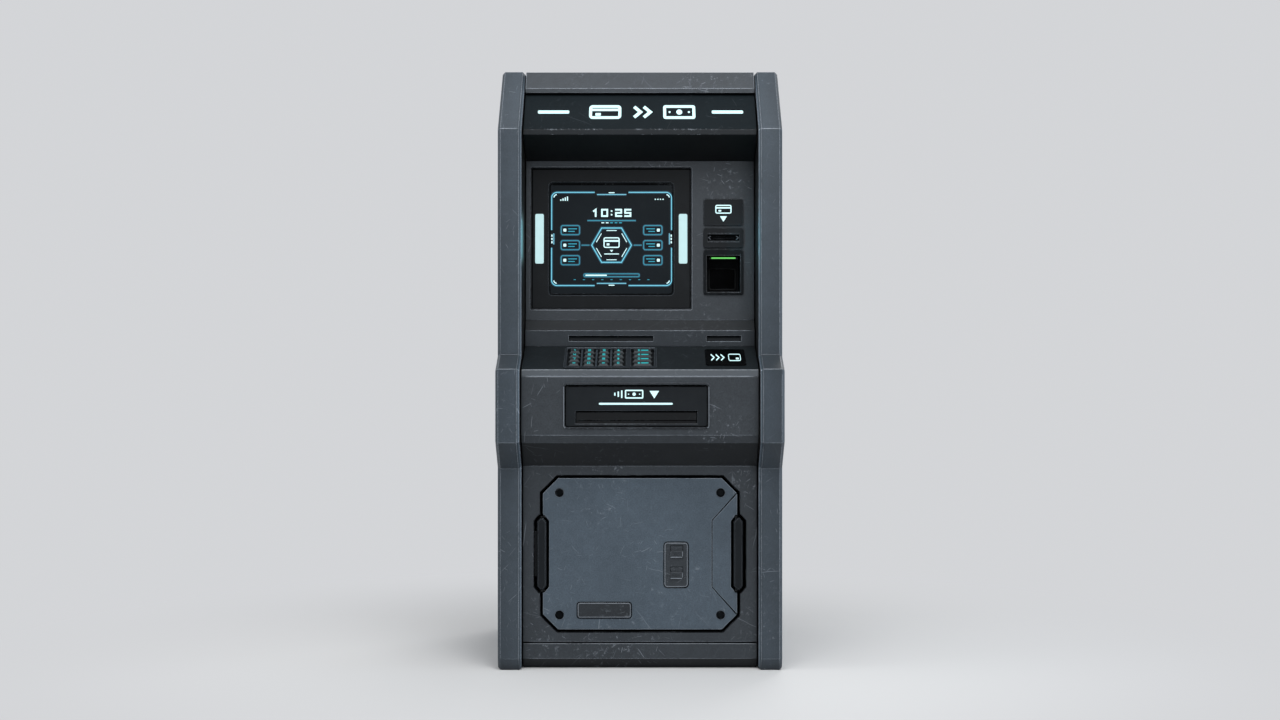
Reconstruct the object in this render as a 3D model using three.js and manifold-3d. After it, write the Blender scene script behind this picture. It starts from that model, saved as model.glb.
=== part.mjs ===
// A free-standing cash machine with a keypad shelf, a safe and a service door, in millimetres.
// X runs to the customer's right, the customer stands on the -Y side, and Z is up.
// The origin is on the floor, in the middle of the machine's outer box.
// Sheet parts are drawn as side-view profiles in [y, z] and carried across the machine along X.
// Parts on a front face are drawn flat on that face: x across, y up the face, z out of it.

import * as THREE from "three";
import { mergeVertices } from "three/addons/utils/BufferGeometryUtils.js";
import Module from "manifold-3d";

const wasm = await Module();
wasm.setup();

// Whole machine
const HEIGHT = 1600;
const WIDTH = 748;
const DEPTH = 880;
const SHEET = 2; // front panels, roof and rear wall
const SKIN = 1.5; // side panels, rear door and computer case
const SEAT = 0.3; // gap between pieces that rest on each other
const PLAY = 0.5; // running gap around pieces that slide
const FLANGE = 25; // turned-in edges of the sheet panels
const EDGE_CHAMFER = 1; // softened edges of the plastic plates on the front
const OVERCUT = 4; // how far a cutting shape runs past the face it opens

// Side panels
const SIDE_THICKNESS = 62;
const SIDE_SEAM = 3; // open seam between a side panel and the panels between them
const SIDE_CHAMFER = 7;
const BULGE = 80; // shelf bulge in front of the panels' main front
const BULGE_FOOT_DROP = 5; // its foot below the top of the lower frame
const BULGE_LOW_RISE = 3; // its flat front starts above the strip's foot
const BULGE_HIGH_RISE = 2; // and ends above the shelf's front edge
const BULGE_SLOPE_RISE = 37;
const TOE_SETBACK = 14;
const TOE_HEIGHT = 31;
const SHOULDER = 176; // 45 degree slope at the top
const SIDE_HATCH = 120; // square access hole in each inner skin
const SIDE_HATCH_Z = 1000;

// Profile of the panels between the side panels, from the floor up
const BODY_SETBACK = 32; // lower frame behind the side panels' main front
const KICK_LIFT = 1;
const KICK_RUN = 19;
const KICK_CHAMFER_Z = 27;
const KICK_TOP_Z = 67;
const KICK_SEAM = 4.5;
const FRAME_SHARE = 0.5183; // lower frame's part of the height that it shares with the screen's face
const CASH_SETBACK = 39; // cash face behind the front of the bulge
const UNDERSIDE_RISE = 63;
const STRIP_RUN = 13;
const STRIP_RISE = 21;
const CASH_RISE = 153;
const NOSE_RUN = 8;
const NOSE_RISE = 18;
const SHELF_LENGTH = 166.6;
const SHELF_ANGLE = 21.5;
const LEDGE_RISE = 43.5;
const RAMP_RUN = 21;
const RAMP_RISE = 28.5;
const FACE_LEAN = 2.1;
const SOFFIT_RISE = 57;
const TRIM_SETBACK = 40;
const TRIM_RISE = 14;
const SIGN_RISE = 110.2;
const SIGN_TOP_SETBACK = 143;
const COVER_DROP = 63; // top of the sign below the highest point
const LIP_OVERHANG = 12;
const LIP_RISE = 12;
const LIP_SLOPE_RUN = 37;
const ROOF_DROP = 2;

// Service door and the frame around it
const DOOR_MARGIN = [46, 26]; // lower frame beside the door opening, and above and below it
const DOOR_CORNER = 44;
const DOOR_GROOVE = 6.5;
const DOOR_THICKNESS = 24;
const DOOR_SKIN = 3;
const FRAME_DEPTH = 36; // from the frame's face to the front of the safe
const HEX_WIDTH = 39; // recess on both long sides of the door
const HEX_MARGIN = 103.8; // its ends from the ends of the door opening
const HEX_SHOULDER = 15.1;
const HEX_TIP = 14;
const HEX_GROOVE = 7.2;
const HEX_WALL = 2;
const INSERT_PROUD = 5.5;
const INSERT_BACK = 9;
const INSERT_CHAMFER = 3;
const PIN_RADIUS = 2.5;
const LUG_RADIUS = 5;
const LUG_HEIGHT = 4;
const LUG_REACH = 14;
const LEAF_INSET = 42.4; // ends of the hinge leaf from the ends of the recess
const HANDLE_OFFSET = 6; // handle pivot beside the middle of its recess
const STUD_RADIUS = 11.35;
const STUD_INSET = [50, 44.6];
const STUD_PROUD = 0.8;
const LINER = 3;
const TRACE_WIDTH = 2; // engraved line on the door
const TRACE_DEPTH = 1;
const TRACE_INSET = 66;
const TRACE_BEND_INSET = 14.4; // its bends from the ends of the recess
const TRACE_END_INSET = 46.2; // its ends from the ends of the door opening
const LOCK_INSET = 167.5; // from the free edge of the door opening
const LOCK_DROP = 29; // below the middle of the door
const LOCK_SIZE = [62, 117.6];
const LOCK_RADIUS = 8;
const LOCK_GROOVE = 2;
const LOCK_PROUD = 1.2;
const LOCK_LIP = 7;
const LOCK_LIP_THICKNESS = 2;
const LATCH_SIZE = [34, 19];
const LATCH_THICKNESS = 2.5;
const LATCH_CHAMFER = 0.6;
const LATCH_SHIFT = 1.5; // latches beside the middle of the lock plate
const LATCH_SPREAD = 28;
const LATCH_TRAVEL = 14;
const LATCH_STEM = [5, 7];
const LATCH_STEM_OFFSET = 9;
const KEYHOLE_RADIUS = 4;
const LABEL_INSET = [168.6, 57.2]; // from the hinged edge and the lower edge of the door opening
const LABEL_SIZE = [141, 39.5];
const LABEL_RADIUS = 6;
const LABEL_THICKNESS = 1.2;

// Cash slot
const CASH_CENTRE = [-9.5, 76.2];
const CASH_SIZE = [381, 118.4];
const CASH_RADIUS = 9;
const CASH_RIM = 4;
const CASH_PROUD = 2.5;
const CASH_CHAMFER = 1.25;
const CASH_POCKET = 4.5;
const CASH_FLANGE = 3;
const CASH_FLANGE_REACH = 8;
const SLOT_SIZE = [318, 33];
const SLOT_DROP = 28.7;
const SHUTTER_THICKNESS = 2.5;
const SHUTTER_LAP = 4;
const SHUTTER_TRAVEL = 34;
const RAIL = 5;
const THROAT_WALL = 2;
const THROAT_BACK = 132; // back of the riser behind the lower frame's face

// Keypad shelf
const KEYPAD_UP = 80.5;
const KEYPAD_SIZE = [245, 145];
const KEYPAD_RADIUS = 6;
const KEYPAD_PROUD = 2.5;
const KEYPAD_RIM = 6;
const KEYPAD_DEPTH = 24;
const WELL_FLOOR = 6; // below the shelf's surface
const WELL_MARGIN = 4;
const KEY_PITCH = [38.8, 30.6];
const KEY_SIZE = [32, 24];
const WIDE_KEY = 54;
const KEY_COLUMNS = 4;
const KEY_ROWS = 4;
const NARROW_OFFSET = -37.4; // middle of the narrow keys beside the keypad's middle
const WIDE_OFFSET = 84.6;
const KEY_PROUD = 5.5;
const KEY_CHAMFER = 3;
const KEY_TRAVEL = 1.8;
const KEY_STEM = 8;
const KEY_STEM_LENGTH = 13;
const READER_UP = 82.5;
const READER_SIZE = [106, 111];
const READER_PROUD = 4;
const READER_BOSS = 15;
const GUSSET = 60; // depth of the shelf's side gussets

// Ledge and printer
const SLOT_UP = 21.7;
const SLOT_HEIGHT = 14.4;
const LONG_SLOT = 228;
const SHORT_SLOT = 93.5;
const DUCT_DEPTH = 60;
const PRINTER_WIDTH = 112;
const PRINTER_DEPTH = 200;
const PRINTER_PLATE = 4;
const PRINTER_ARM = 100;
const ROLL_RADIUS = 40;
const ROLL_BORE = 5;
const ROLL_BACK = 150;
const ROLL_LIFT = 62;
const CHEEK_RISE = 15; // printer cheeks above the middle of the roll

// Face panel
const SCREEN_MARGIN = 12.5; // from the side of the face panel
const SCREEN_FOOT = 28;
const SCREEN_TOP = 16.5;
const SCREEN_RADIUS = 4;
const SCREEN_RECESS = 9;
const SCREEN_FLOOR = 3;
const SCREEN_RIM = 2.5;
const SCREEN_FLANGE = 8;
const GLASS_MARGIN = [48, 39]; // bezel beside the glass, and above and below it
const GLASS_RADIUS = 11;
const GLASS_LAP = 5;
const MODULE_DEPTH = 34;
const BAR_SIZE = [23, 135];
const BAR_INSET = 23.5; // middle of a light bar from the side of the bezel
const BAR_RADIUS = 4;
const BAR_PROUD = 1.5;
const BAR_CHAMFER = 0.75;
const BAR_DEPTH = 12;
const COLUMN_WIDTH = 108; // card and scanner units beside the screen
const COLUMN_MARGIN = 29;
const COLUMN_GAP = 31.5;
const COLUMN_RADIUS = 6;
const CARD_SIGN_UP = 292.5;
const CARD_SIGN_HEIGHT = 73;
const CARD_SIGN_PROUD = 4;
const CARD_UP = 223;
const CARD_HEIGHT = 54;
const CARD_PROUD = 6;
const CARD_MOUTH = [86, 17];
const CARD_MOUTH_DEPTH = 9;
const CARD_SLOT = [60, 3];
const CARD_BODY = [88, 42, 160];
const SCANNER_UP = 130;
const SCANNER_HEIGHT = 122;
const SCANNER_PROUD = 5;
const SCANNER_CAVITY = [90, 98, 76];
const SCANNER_CAVITY_DROP = 5;
const SCANNER_WALL = 3;

// Safe and cash unit
const SAFE_RISE = 24; // top of the safe above the lower frame
const SAFE_WALL = 8;
const SAFE_SHELF_RISE = 2.4; // underside of its shelf above the foot of the door opening
const SAFE_SHELF = 6;
const SAFE_REAR_INSET = 6;
const ANCHOR_INSET = [71.7, 102.85];
const ANCHOR_RADIUS = 9;
const CASSETTE = [230, 125, 420];
const CASSETTE_WALL = 5;
const CASSETTE_MOUTH = [160, 30];
const CASSETTE_GRIP = [120, 40, 4];
const CASSETTE_SETBACK = 92; // cassettes behind the front of the safe
const UNIT_PLATE = 3;
const UNIT_PICK_DEPTH = 90;
const UNIT_TOP_HEIGHT = 60;

// Computer
const COMPUTER = [220, 340, 300];
const COMPUTER_MARGIN = 24; // from the side of the roof and rear wall
const COMPUTER_REAR_GAP = 51;
const VENT = [150, 5];
const VENT_PITCH = 14;
const VENT_COUNT = 6;

// Rear wall and door
const WALL_INSET = 14;
const REAR_MARGIN = 39;
const REAR_FOOT = 80; // foot of the rear opening above the safe
const REAR_TOP = 100; // top of the rear opening below the highest point
const REAR_GAP = 3;
const REAR_DOOR_DEPTH = 18;
const LOUVRE = [150, 6];
const LOUVRE_PITCH = 18;
const LOUVRE_COUNT = 7;
const LOUVRE_INSET = [150, 160]; // middle of each group from the edges of the opening
const KNUCKLE_RADIUS = 6;
const KNUCKLE_LENGTH = 30;
const KNUCKLE_LEAF = 3;
const KNUCKLE_INSET = 130; // from the ends of the opening
const KNUCKLE_REACH = 24;
const REAR_PIN_RADIUS = 3;
const KNOB_RADIUS = 14;
const KNOB_HEIGHT = 8;
const KNOB_SHAFT = 4.7;
const GRIP_RISE = 4; // finger grip above the knob
const KNOB_OFFSET = 27; // knob beside the free edge of the rear door
const CAM = [12, 20, 3];
const CABLE_NOTCH = [80, 30];

// Round shapes
const ROUND_STEPS = 20;
const CORNER_STEPS = 3;

// Places that follow from the sizes above
const halfWidth = WIDTH / 2;
const innerHalf = halfWidth - SIDE_THICKNESS;
const bodyHalf = innerHalf - SIDE_SEAM;
const mainY = -DEPTH / 2 + BULGE;
const rearY = DEPTH / 2;
const bodyY = mainY + BODY_SETBACK;
const cashY = -DEPTH / 2 + CASH_SETBACK;
const wallY = rearY - WALL_INSET;
const safeFrontY = bodyY + FRAME_DEPTH + SEAT;
const safeRearY = rearY - SAFE_REAR_INSET;
const safeHalf = innerHalf - SEAT;

const radians = THREE.MathUtils.degToRad;
const shelfRise = SHELF_LENGTH * Math.sin(radians(SHELF_ANGLE));
const frameFoot = [bodyY, KICK_TOP_Z + KICK_SEAM];
const cashBlock = UNDERSIDE_RISE + STRIP_RISE + CASH_RISE;
const shelfBlock = NOSE_RISE + shelfRise + LEDGE_RISE + RAMP_RISE;
const header = SOFFIT_RISE + TRIM_RISE + SIGN_RISE + COVER_DROP;
const sharedHeight = HEIGHT - frameFoot[1] - cashBlock - shelfBlock - header;
const frameTop = [bodyY, frameFoot[1] + FRAME_SHARE * sharedHeight];
const stripFoot = [cashY + STRIP_RUN, frameTop[1] + UNDERSIDE_RISE];
const cashFoot = [cashY, stripFoot[1] + STRIP_RISE];
const cashTop = [cashY, cashFoot[1] + CASH_RISE];
const shelfFront = [cashY + NOSE_RUN, cashTop[1] + NOSE_RISE];
const shelfBack = [
  shelfFront[0] + SHELF_LENGTH * Math.cos(radians(SHELF_ANGLE)),
  shelfFront[1] + shelfRise,
];
const ledgeTop = [shelfBack[0], shelfBack[1] + LEDGE_RISE];
const faceFoot = [ledgeTop[0] + RAMP_RUN, ledgeTop[1] + RAMP_RISE];
const faceRise = (1 - FRAME_SHARE) * sharedHeight;
const faceLength = faceRise / Math.cos(radians(FACE_LEAN));
const faceTop = [faceFoot[0] + faceRise * Math.tan(radians(FACE_LEAN)), faceFoot[1] + faceRise];
const trimFoot = [mainY + TRIM_SETBACK, faceTop[1] + SOFFIT_RISE];
const signFoot = [trimFoot[0], trimFoot[1] + TRIM_RISE];
const signTop = [mainY + SIGN_TOP_SETBACK, signFoot[1] + SIGN_RISE];
const safeHeight = frameTop[1] + SAFE_RISE;

const doorOpening = [2 * (bodyHalf - DOOR_MARGIN[0]), frameTop[1] - frameFoot[1] - 2 * DOOR_MARGIN[1]];
const doorCentreZ = (frameFoot[1] + frameTop[1]) / 2;
const hexHeight = doorOpening[1] - 2 * HEX_MARGIN;
const lockCentre = [doorOpening[0] / 2 - LOCK_INSET, -LOCK_DROP];
const labelCentre = [LABEL_INSET[0] - doorOpening[0] / 2, LABEL_INSET[1] - doorOpening[1] / 2];
const columnX = bodyHalf - COLUMN_MARGIN - COLUMN_WIDTH / 2;
const screenSize = [
  2 * bodyHalf - SCREEN_MARGIN - COLUMN_GAP - COLUMN_WIDTH - COLUMN_MARGIN,
  faceLength - SCREEN_FOOT - SCREEN_TOP,
];
const screenCentre = [SCREEN_MARGIN + screenSize[0] / 2 - bodyHalf, SCREEN_FOOT + screenSize[1] / 2];
const glassSize = [screenSize[0] - 2 * GLASS_MARGIN[0], screenSize[1] - 2 * GLASS_MARGIN[1]];
const keypadCentre = [screenCentre[0], KEYPAD_UP];
const readerCentre = [columnX, READER_UP];
const rearOpening = [2 * (bodyHalf - REAR_MARGIN), HEIGHT - REAR_TOP - safeHeight - REAR_FOOT];
const rearCentreZ = HEIGHT - REAR_TOP - rearOpening[1] / 2;

// ---------- Outlines ----------

// Moves every edge of a line of points to its right by the distance, with mitred corners.
function offsetLine(points, distance, closed) {
  const count = points.length;
  const normals = points.map(([x, y], i) => {
    const [nextX, nextY] = points[(i + 1) % count];
    const length = Math.hypot(nextX - x, nextY - y);
    return [(nextY - y) / length, (x - nextX) / length];
  });
  return points.map(([x, y], i) => {
    const before = normals[closed ? (i + count - 1) % count : Math.max(i - 1, 0)];
    const after = normals[closed || i < count - 1 ? i : i - 1];
    const reach = distance / (1 + before[0] * after[0] + before[1] * after[1]);
    return [x + (before[0] + after[0]) * reach, y + (before[1] + after[1]) * reach];
  });
}

// Shrinks a closed outline by the distance, or grows it where the distance is negative.
function inset(outline, distance) {
  const vectors = outline.map(([x, y]) => new THREE.Vector2(x, y));
  const side = THREE.ShapeUtils.isClockWise(vectors) ? 1 : -1;
  return offsetLine(outline, side * distance, true);
}

// Cross-section of a bent sheet: the path is its outer face, walked upwards with the inside to the right.
function bentSheet(path, thickness) {
  return [...path, ...offsetLine(path, thickness, false).reverse()];
}

// Cross-section of a line of the given width along a path.
function band(path, width) {
  return [...offsetLine(path, width / 2, false), ...offsetLine(path, -width / 2, false).reverse()];
}

function rectangle([width, height], [x, y] = [0, 0]) {
  return [
    [x - width / 2, y - height / 2],
    [x + width / 2, y - height / 2],
    [x + width / 2, y + height / 2],
    [x - width / 2, y + height / 2],
  ];
}

// Rectangle with its corners cut off, by across and up.
function cutCorners([width, height], [across, up], [x, y] = [0, 0]) {
  const [w, h] = [width / 2, height / 2];
  return [
    [x - w + across, y - h],
    [x + w - across, y - h],
    [x + w, y - h + up],
    [x + w, y + h - up],
    [x + w - across, y + h],
    [x - w + across, y + h],
    [x - w, y + h - up],
    [x - w, y - h + up],
  ];
}

function rounded([width, height], radius, [x, y] = [0, 0]) {
  const points = [];
  for (let corner = 0; corner < 4; corner += 1) {
    const signX = corner === 0 || corner === 3 ? 1 : -1;
    const signY = corner < 2 ? 1 : -1;
    const centreX = x + signX * (width / 2 - radius);
    const centreY = y + signY * (height / 2 - radius);
    for (let step = 0; step <= CORNER_STEPS; step += 1) {
      const angle = ((corner + step / CORNER_STEPS) * Math.PI) / 2;
      points.push([centreX + radius * Math.cos(angle), centreY + radius * Math.sin(angle)]);
    }
  }
  return points;
}

// ---------- Solids ----------

// A prism along z from low to high, with both ends chamfered.
function plate(outline, low, high, chamfer = 0) {
  const shape = new THREE.Shape(outline.map(([x, y]) => new THREE.Vector2(x, y)));
  return new THREE.ExtrudeGeometry(shape, {
    depth: high - low - 2 * chamfer,
    bevelEnabled: chamfer > 0,
    bevelThickness: chamfer,
    bevelSize: chamfer,
    bevelOffset: -chamfer,
    bevelSegments: 1,
  }).translate(0, 0, low + chamfer);
}

// A side-view profile in [y, z] carried along x from low to high.
function profile(outline, low, high, chamfer = 0) {
  const axes = new THREE.Matrix4().makeBasis(
    new THREE.Vector3(0, 1, 0),
    new THREE.Vector3(0, 0, 1),
    new THREE.Vector3(1, 0, 0),
  );
  return plate(outline, low, high, chamfer).applyMatrix4(axes);
}

function block([x0, x1], [y0, y1], [z0, z1]) {
  return new THREE.BoxGeometry(x1 - x0, y1 - y0, z1 - z0).translate(
    (x0 + x1) / 2,
    (y0 + y1) / 2,
    (z0 + z1) / 2,
  );
}

// A rod along y, in the middle of x and z.
function rodY(radius, [y0, y1], [x, z] = [0, 0]) {
  return new THREE.CylinderGeometry(radius, radius, y1 - y0, ROUND_STEPS).translate(x, (y0 + y1) / 2, z);
}

function rodX(radius, [x0, x1], [y, z]) {
  return new THREE.CylinderGeometry(radius, radius, x1 - x0, ROUND_STEPS)
    .rotateZ(Math.PI / 2)
    .translate((x0 + x1) / 2, y, z);
}

function rodZ(radius, [z0, z1], [x, y]) {
  return new THREE.CylinderGeometry(radius, radius, z1 - z0, ROUND_STEPS)
    .rotateX(Math.PI / 2)
    .translate(x, y, (z0 + z1) / 2);
}

function toSolid(geometry) {
  const bare = geometry.clone();
  bare.deleteAttribute("normal");
  bare.deleteAttribute("uv");
  const merged = mergeVertices(bare);
  return new wasm.Manifold(
    new wasm.Mesh({
      numProp: 3,
      vertProperties: new Float32Array(merged.attributes.position.array),
      triVerts: new Uint32Array(merged.index.array),
    }),
  );
}

function toGeometry(solid) {
  const mesh = solid.getMesh();
  const geometry = new THREE.BufferGeometry();
  geometry.setAttribute("position", new THREE.BufferAttribute(mesh.vertProperties, 3));
  geometry.setIndex(new THREE.BufferAttribute(mesh.triVerts, 1));
  return geometry;
}

function join(first, ...others) {
  return toGeometry(others.reduce((solid, other) => solid.add(toSolid(other)), toSolid(first)));
}

function cut(first, ...others) {
  return toGeometry(others.reduce((solid, other) => solid.subtract(toSolid(other)), toSolid(first)));
}

// ---------- Assembly ----------

const machine = new THREE.Group();

const FINISHES = {
  sidePaint: { color: 0x4a535b, roughness: 0.5, metalness: 0.5 },
  frontPaint: { color: 0x3c4044, roughness: 0.5, metalness: 0.5 },
  shelfPaint: { color: 0x26292c, roughness: 0.55, metalness: 0.4 },
  blackPlastic: { color: 0x1b1e21, roughness: 0.45, metalness: 0 },
  keyPlastic: { color: 0x2b2f33, roughness: 0.4, metalness: 0.2 },
  glass: { color: 0x0d1b20, roughness: 0.15, metalness: 0 },
  lamp: { color: 0xd8f6fa, roughness: 0.3, metalness: 0 },
  blackSteel: { color: 0x1a1c1f, roughness: 0.5, metalness: 0.5 },
  steel: { color: 0x6d7277, roughness: 0.35, metalness: 0.9 },
  safeSteel: { color: 0x33373b, roughness: 0.6, metalness: 0.7 },
  paper: { color: 0xe8e6df, roughness: 0.9, metalness: 0 },
};

function addPiece(name, geometry, finish, parent = machine) {
  const flat = geometry.index ? geometry.toNonIndexed() : geometry;
  flat.computeVertexNormals();
  const mesh = new THREE.Mesh(flat, new THREE.MeshStandardMaterial(FINISHES[finish]));
  mesh.name = name;
  parent.add(mesh);
}

// A group that lies on the face between two profile points: x across, y up the face, z out of it.
function faceGroup(lower, upper) {
  const group = new THREE.Group();
  group.position.set(0, lower[0], lower[1]);
  group.rotation.x = Math.atan2(upper[1] - lower[1], upper[0] - lower[0]);
  group.updateMatrixWorld(true);
  machine.add(group);
  return group;
}

// The same shape, moved from a face group into the machine.
function onFace(group, geometry) {
  return geometry.applyMatrix4(group.matrixWorld);
}

const doorFace = faceGroup([bodyY, doorCentreZ], frameTop);
const cashFace = faceGroup(cashFoot, cashTop);
const shelfFace = faceGroup(shelfFront, shelfBack);
const ledgeFace = faceGroup(shelfBack, ledgeTop);
const screenFace = faceGroup(faceFoot, faceTop);
const rearFace = new THREE.Group();
rearFace.position.set(0, wallY, rearCentreZ);
rearFace.rotation.set(Math.PI / 2, Math.PI, 0);
rearFace.updateMatrixWorld(true);
machine.add(rearFace);

// ---------- Outer panels ----------

function sidePanel(side) {
  const outline = [
    [mainY + TOE_SETBACK, 0],
    [mainY, TOE_HEIGHT],
    [mainY, frameTop[1] - BULGE_FOOT_DROP],
    [mainY - BULGE, stripFoot[1] + BULGE_LOW_RISE],
    [mainY - BULGE, shelfFront[1] + BULGE_HIGH_RISE],
    [mainY, shelfFront[1] + BULGE_HIGH_RISE + BULGE_SLOPE_RISE],
    [mainY, HEIGHT - SHOULDER],
    [mainY + SHOULDER, HEIGHT],
    [rearY, HEIGHT],
    [rearY, 0],
  ];
  const across = (inner, outer) => [side * inner, side * outer].sort((a, b) => a - b);
  const shell = profile(outline, ...across(innerHalf, halfWidth), SIDE_CHAMFER);
  const hollow = profile(
    inset(outline, SKIN),
    ...across(innerHalf + SKIN, halfWidth - SKIN),
    SIDE_CHAMFER,
  );
  const hatch = block(
    across(innerHalf - OVERCUT, innerHalf + OVERCUT),
    [-SIDE_HATCH / 2, SIDE_HATCH / 2],
    [SIDE_HATCH_Z - SIDE_HATCH / 2, SIDE_HATCH_Z + SIDE_HATCH / 2],
  );
  return cut(shell, hollow, hatch);
}

function panelSheet(path) {
  return profile(bentSheet(path, SHEET), -bodyHalf, bodyHalf);
}

function kickPlate() {
  return panelSheet([
    [safeFrontY - SEAT, KICK_LIFT],
    [bodyY + KICK_RUN, KICK_LIFT],
    [bodyY, KICK_CHAMFER_Z],
    [bodyY, KICK_TOP_Z],
    [safeFrontY - SEAT, KICK_TOP_Z],
  ]);
}

const openingOutline = cutCorners(doorOpening, [DOOR_CORNER, DOOR_CORNER]);
const doorOutline = inset(openingOutline, DOOR_GROOVE);
const hexX = (doorOpening[0] - DOOR_GROOVE) / 2;

function hexOutline(side) {
  return cutCorners([HEX_WIDTH, hexHeight], [(HEX_WIDTH - HEX_TIP) / 2, HEX_SHOULDER], [side * hexX, 0]);
}

function lowerFrame() {
  const sheet = panelSheet([
    [safeFrontY - SEAT, frameFoot[1]],
    frameFoot,
    frameTop,
    [bodyY + FLANGE, frameTop[1]],
  ]);
  const jamb = onFace(doorFace, plate(inset(openingOutline, -SHEET), -FRAME_DEPTH, -SHEET / 2));
  const recesses = [-1, 1].map((side) =>
    onFace(doorFace, plate(inset(hexOutline(side), -HEX_WALL), -DOOR_THICKNESS, -SHEET / 2)),
  );
  const opening = onFace(doorFace, plate(openingOutline, -FRAME_DEPTH - OVERCUT, OVERCUT));
  const hexes = [-1, 1].map((side) =>
    onFace(doorFace, plate(hexOutline(side), -FRAME_DEPTH - OVERCUT, OVERCUT)),
  );
  return cut(join(sheet, jamb, ...recesses), opening, ...hexes);
}

function cashPanel() {
  const sheet = panelSheet([
    [bodyY + FLANGE, frameTop[1] + SEAT],
    [frameTop[0], frameTop[1] + SEAT],
    stripFoot,
    cashFoot,
    cashTop,
    [cashTop[0] + FLANGE, cashTop[1]],
  ]);
  const hole = rounded(
    [CASH_SIZE[0] + 2 * SEAT, CASH_SIZE[1] + 2 * SEAT],
    CASH_RADIUS + SEAT,
    CASH_CENTRE,
  );
  return cut(sheet, onFace(cashFace, plate(hole, -SHEET - OVERCUT, OVERCUT)));
}

function keypadShelf() {
  const sheet = panelSheet([
    [cashTop[0] + FLANGE, cashTop[1] + SEAT],
    [cashTop[0], cashTop[1] + SEAT],
    shelfFront,
    shelfBack,
    [shelfBack[0] + FLANGE, shelfBack[1]],
  ]);
  const gussets = [-1, 1].map((side) => {
    const across = [side * (bodyHalf - SHEET), side * bodyHalf].sort((a, b) => a - b);
    const outline = [
      [shelfBack[0] + FLANGE - GUSSET, safeHeight + SEAT],
      [shelfBack[0] + FLANGE, safeHeight + SEAT],
      [shelfBack[0] + FLANGE, shelfBack[1] - SHEET / 2],
      [shelfBack[0], shelfBack[1] - SHEET / 2],
      [shelfFront[0] + FLANGE, shelfFront[1] + FLANGE * Math.tan(radians(SHELF_ANGLE)) - SHEET / 2],
    ];
    return profile(outline, ...across);
  });
  const keypadHole = keypadBody(SEAT, -SHEET - OVERCUT, OVERCUT);
  const bossHole = rodZ(READER_BOSS + SEAT, [-SHEET - OVERCUT, OVERCUT], readerCentre);
  return cut(
    join(sheet, ...gussets),
    onFace(shelfFace, keypadHole),
    onFace(shelfFace, bossHole),
  );
}

function ledgePanel() {
  const sheet = panelSheet([
    [shelfBack[0] + FLANGE, shelfBack[1] + SEAT],
    [shelfBack[0], shelfBack[1] + SEAT],
    ledgeTop,
    [faceFoot[0], faceFoot[1] - SEAT],
    [faceFoot[0] + FLANGE, faceFoot[1] - SEAT],
  ]);
  const longSlot = [screenCentre[0], SLOT_UP];
  const duct = plate(
    rectangle([LONG_SLOT + 2 * SHEET, SLOT_HEIGHT + 2 * SHEET], longSlot),
    -DUCT_DEPTH,
    -SHEET / 2,
  );
  const bore = plate(rectangle([LONG_SLOT, SLOT_HEIGHT], longSlot), -DUCT_DEPTH - OVERCUT, OVERCUT);
  const shortSlot = plate(
    rectangle([SHORT_SLOT, SLOT_HEIGHT], [columnX, SLOT_UP]),
    -SHEET - OVERCUT,
    OVERCUT,
  );
  return cut(
    join(sheet, onFace(ledgeFace, duct)),
    onFace(ledgeFace, bore),
    onFace(ledgeFace, shortSlot),
  );
}

function facePanel() {
  const sheet = panelSheet([
    [faceFoot[0] + FLANGE, faceFoot[1]],
    faceFoot,
    faceTop,
    [faceTop[0] + FLANGE, faceTop[1]],
  ]);
  const through = (outline) => onFace(screenFace, plate(outline, -SHEET - OVERCUT, OVERCUT));
  return cut(
    sheet,
    through(inset(screenOutline, -SEAT)),
    through(inset(cardBodyOutline, -SEAT)),
    through(inset(scannerBodyOutline, -SEAT)),
  );
}

function headerSoffit() {
  return panelSheet([
    [faceTop[0] + FLANGE, faceTop[1] + SEAT],
    [faceTop[0], faceTop[1] + SEAT],
    trimFoot,
    [signFoot[0], signFoot[1] - SEAT],
    [signFoot[0] + FLANGE, signFoot[1] - SEAT],
  ]);
}

function signPanel() {
  return panelSheet([
    [signFoot[0] + FLANGE, signFoot[1]],
    signFoot,
    [signTop[0], signTop[1] - SEAT],
    [signTop[0] + FLANGE, signTop[1] - SEAT],
  ]);
}

// ---------- Rear wall and roof ----------

const rearHingeX = rearOpening[0] / 2 - REAR_GAP / 2;
const rearHinges = [-1, 1].map((side) => side * (rearOpening[1] / 2 - KNUCKLE_INSET));

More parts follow.
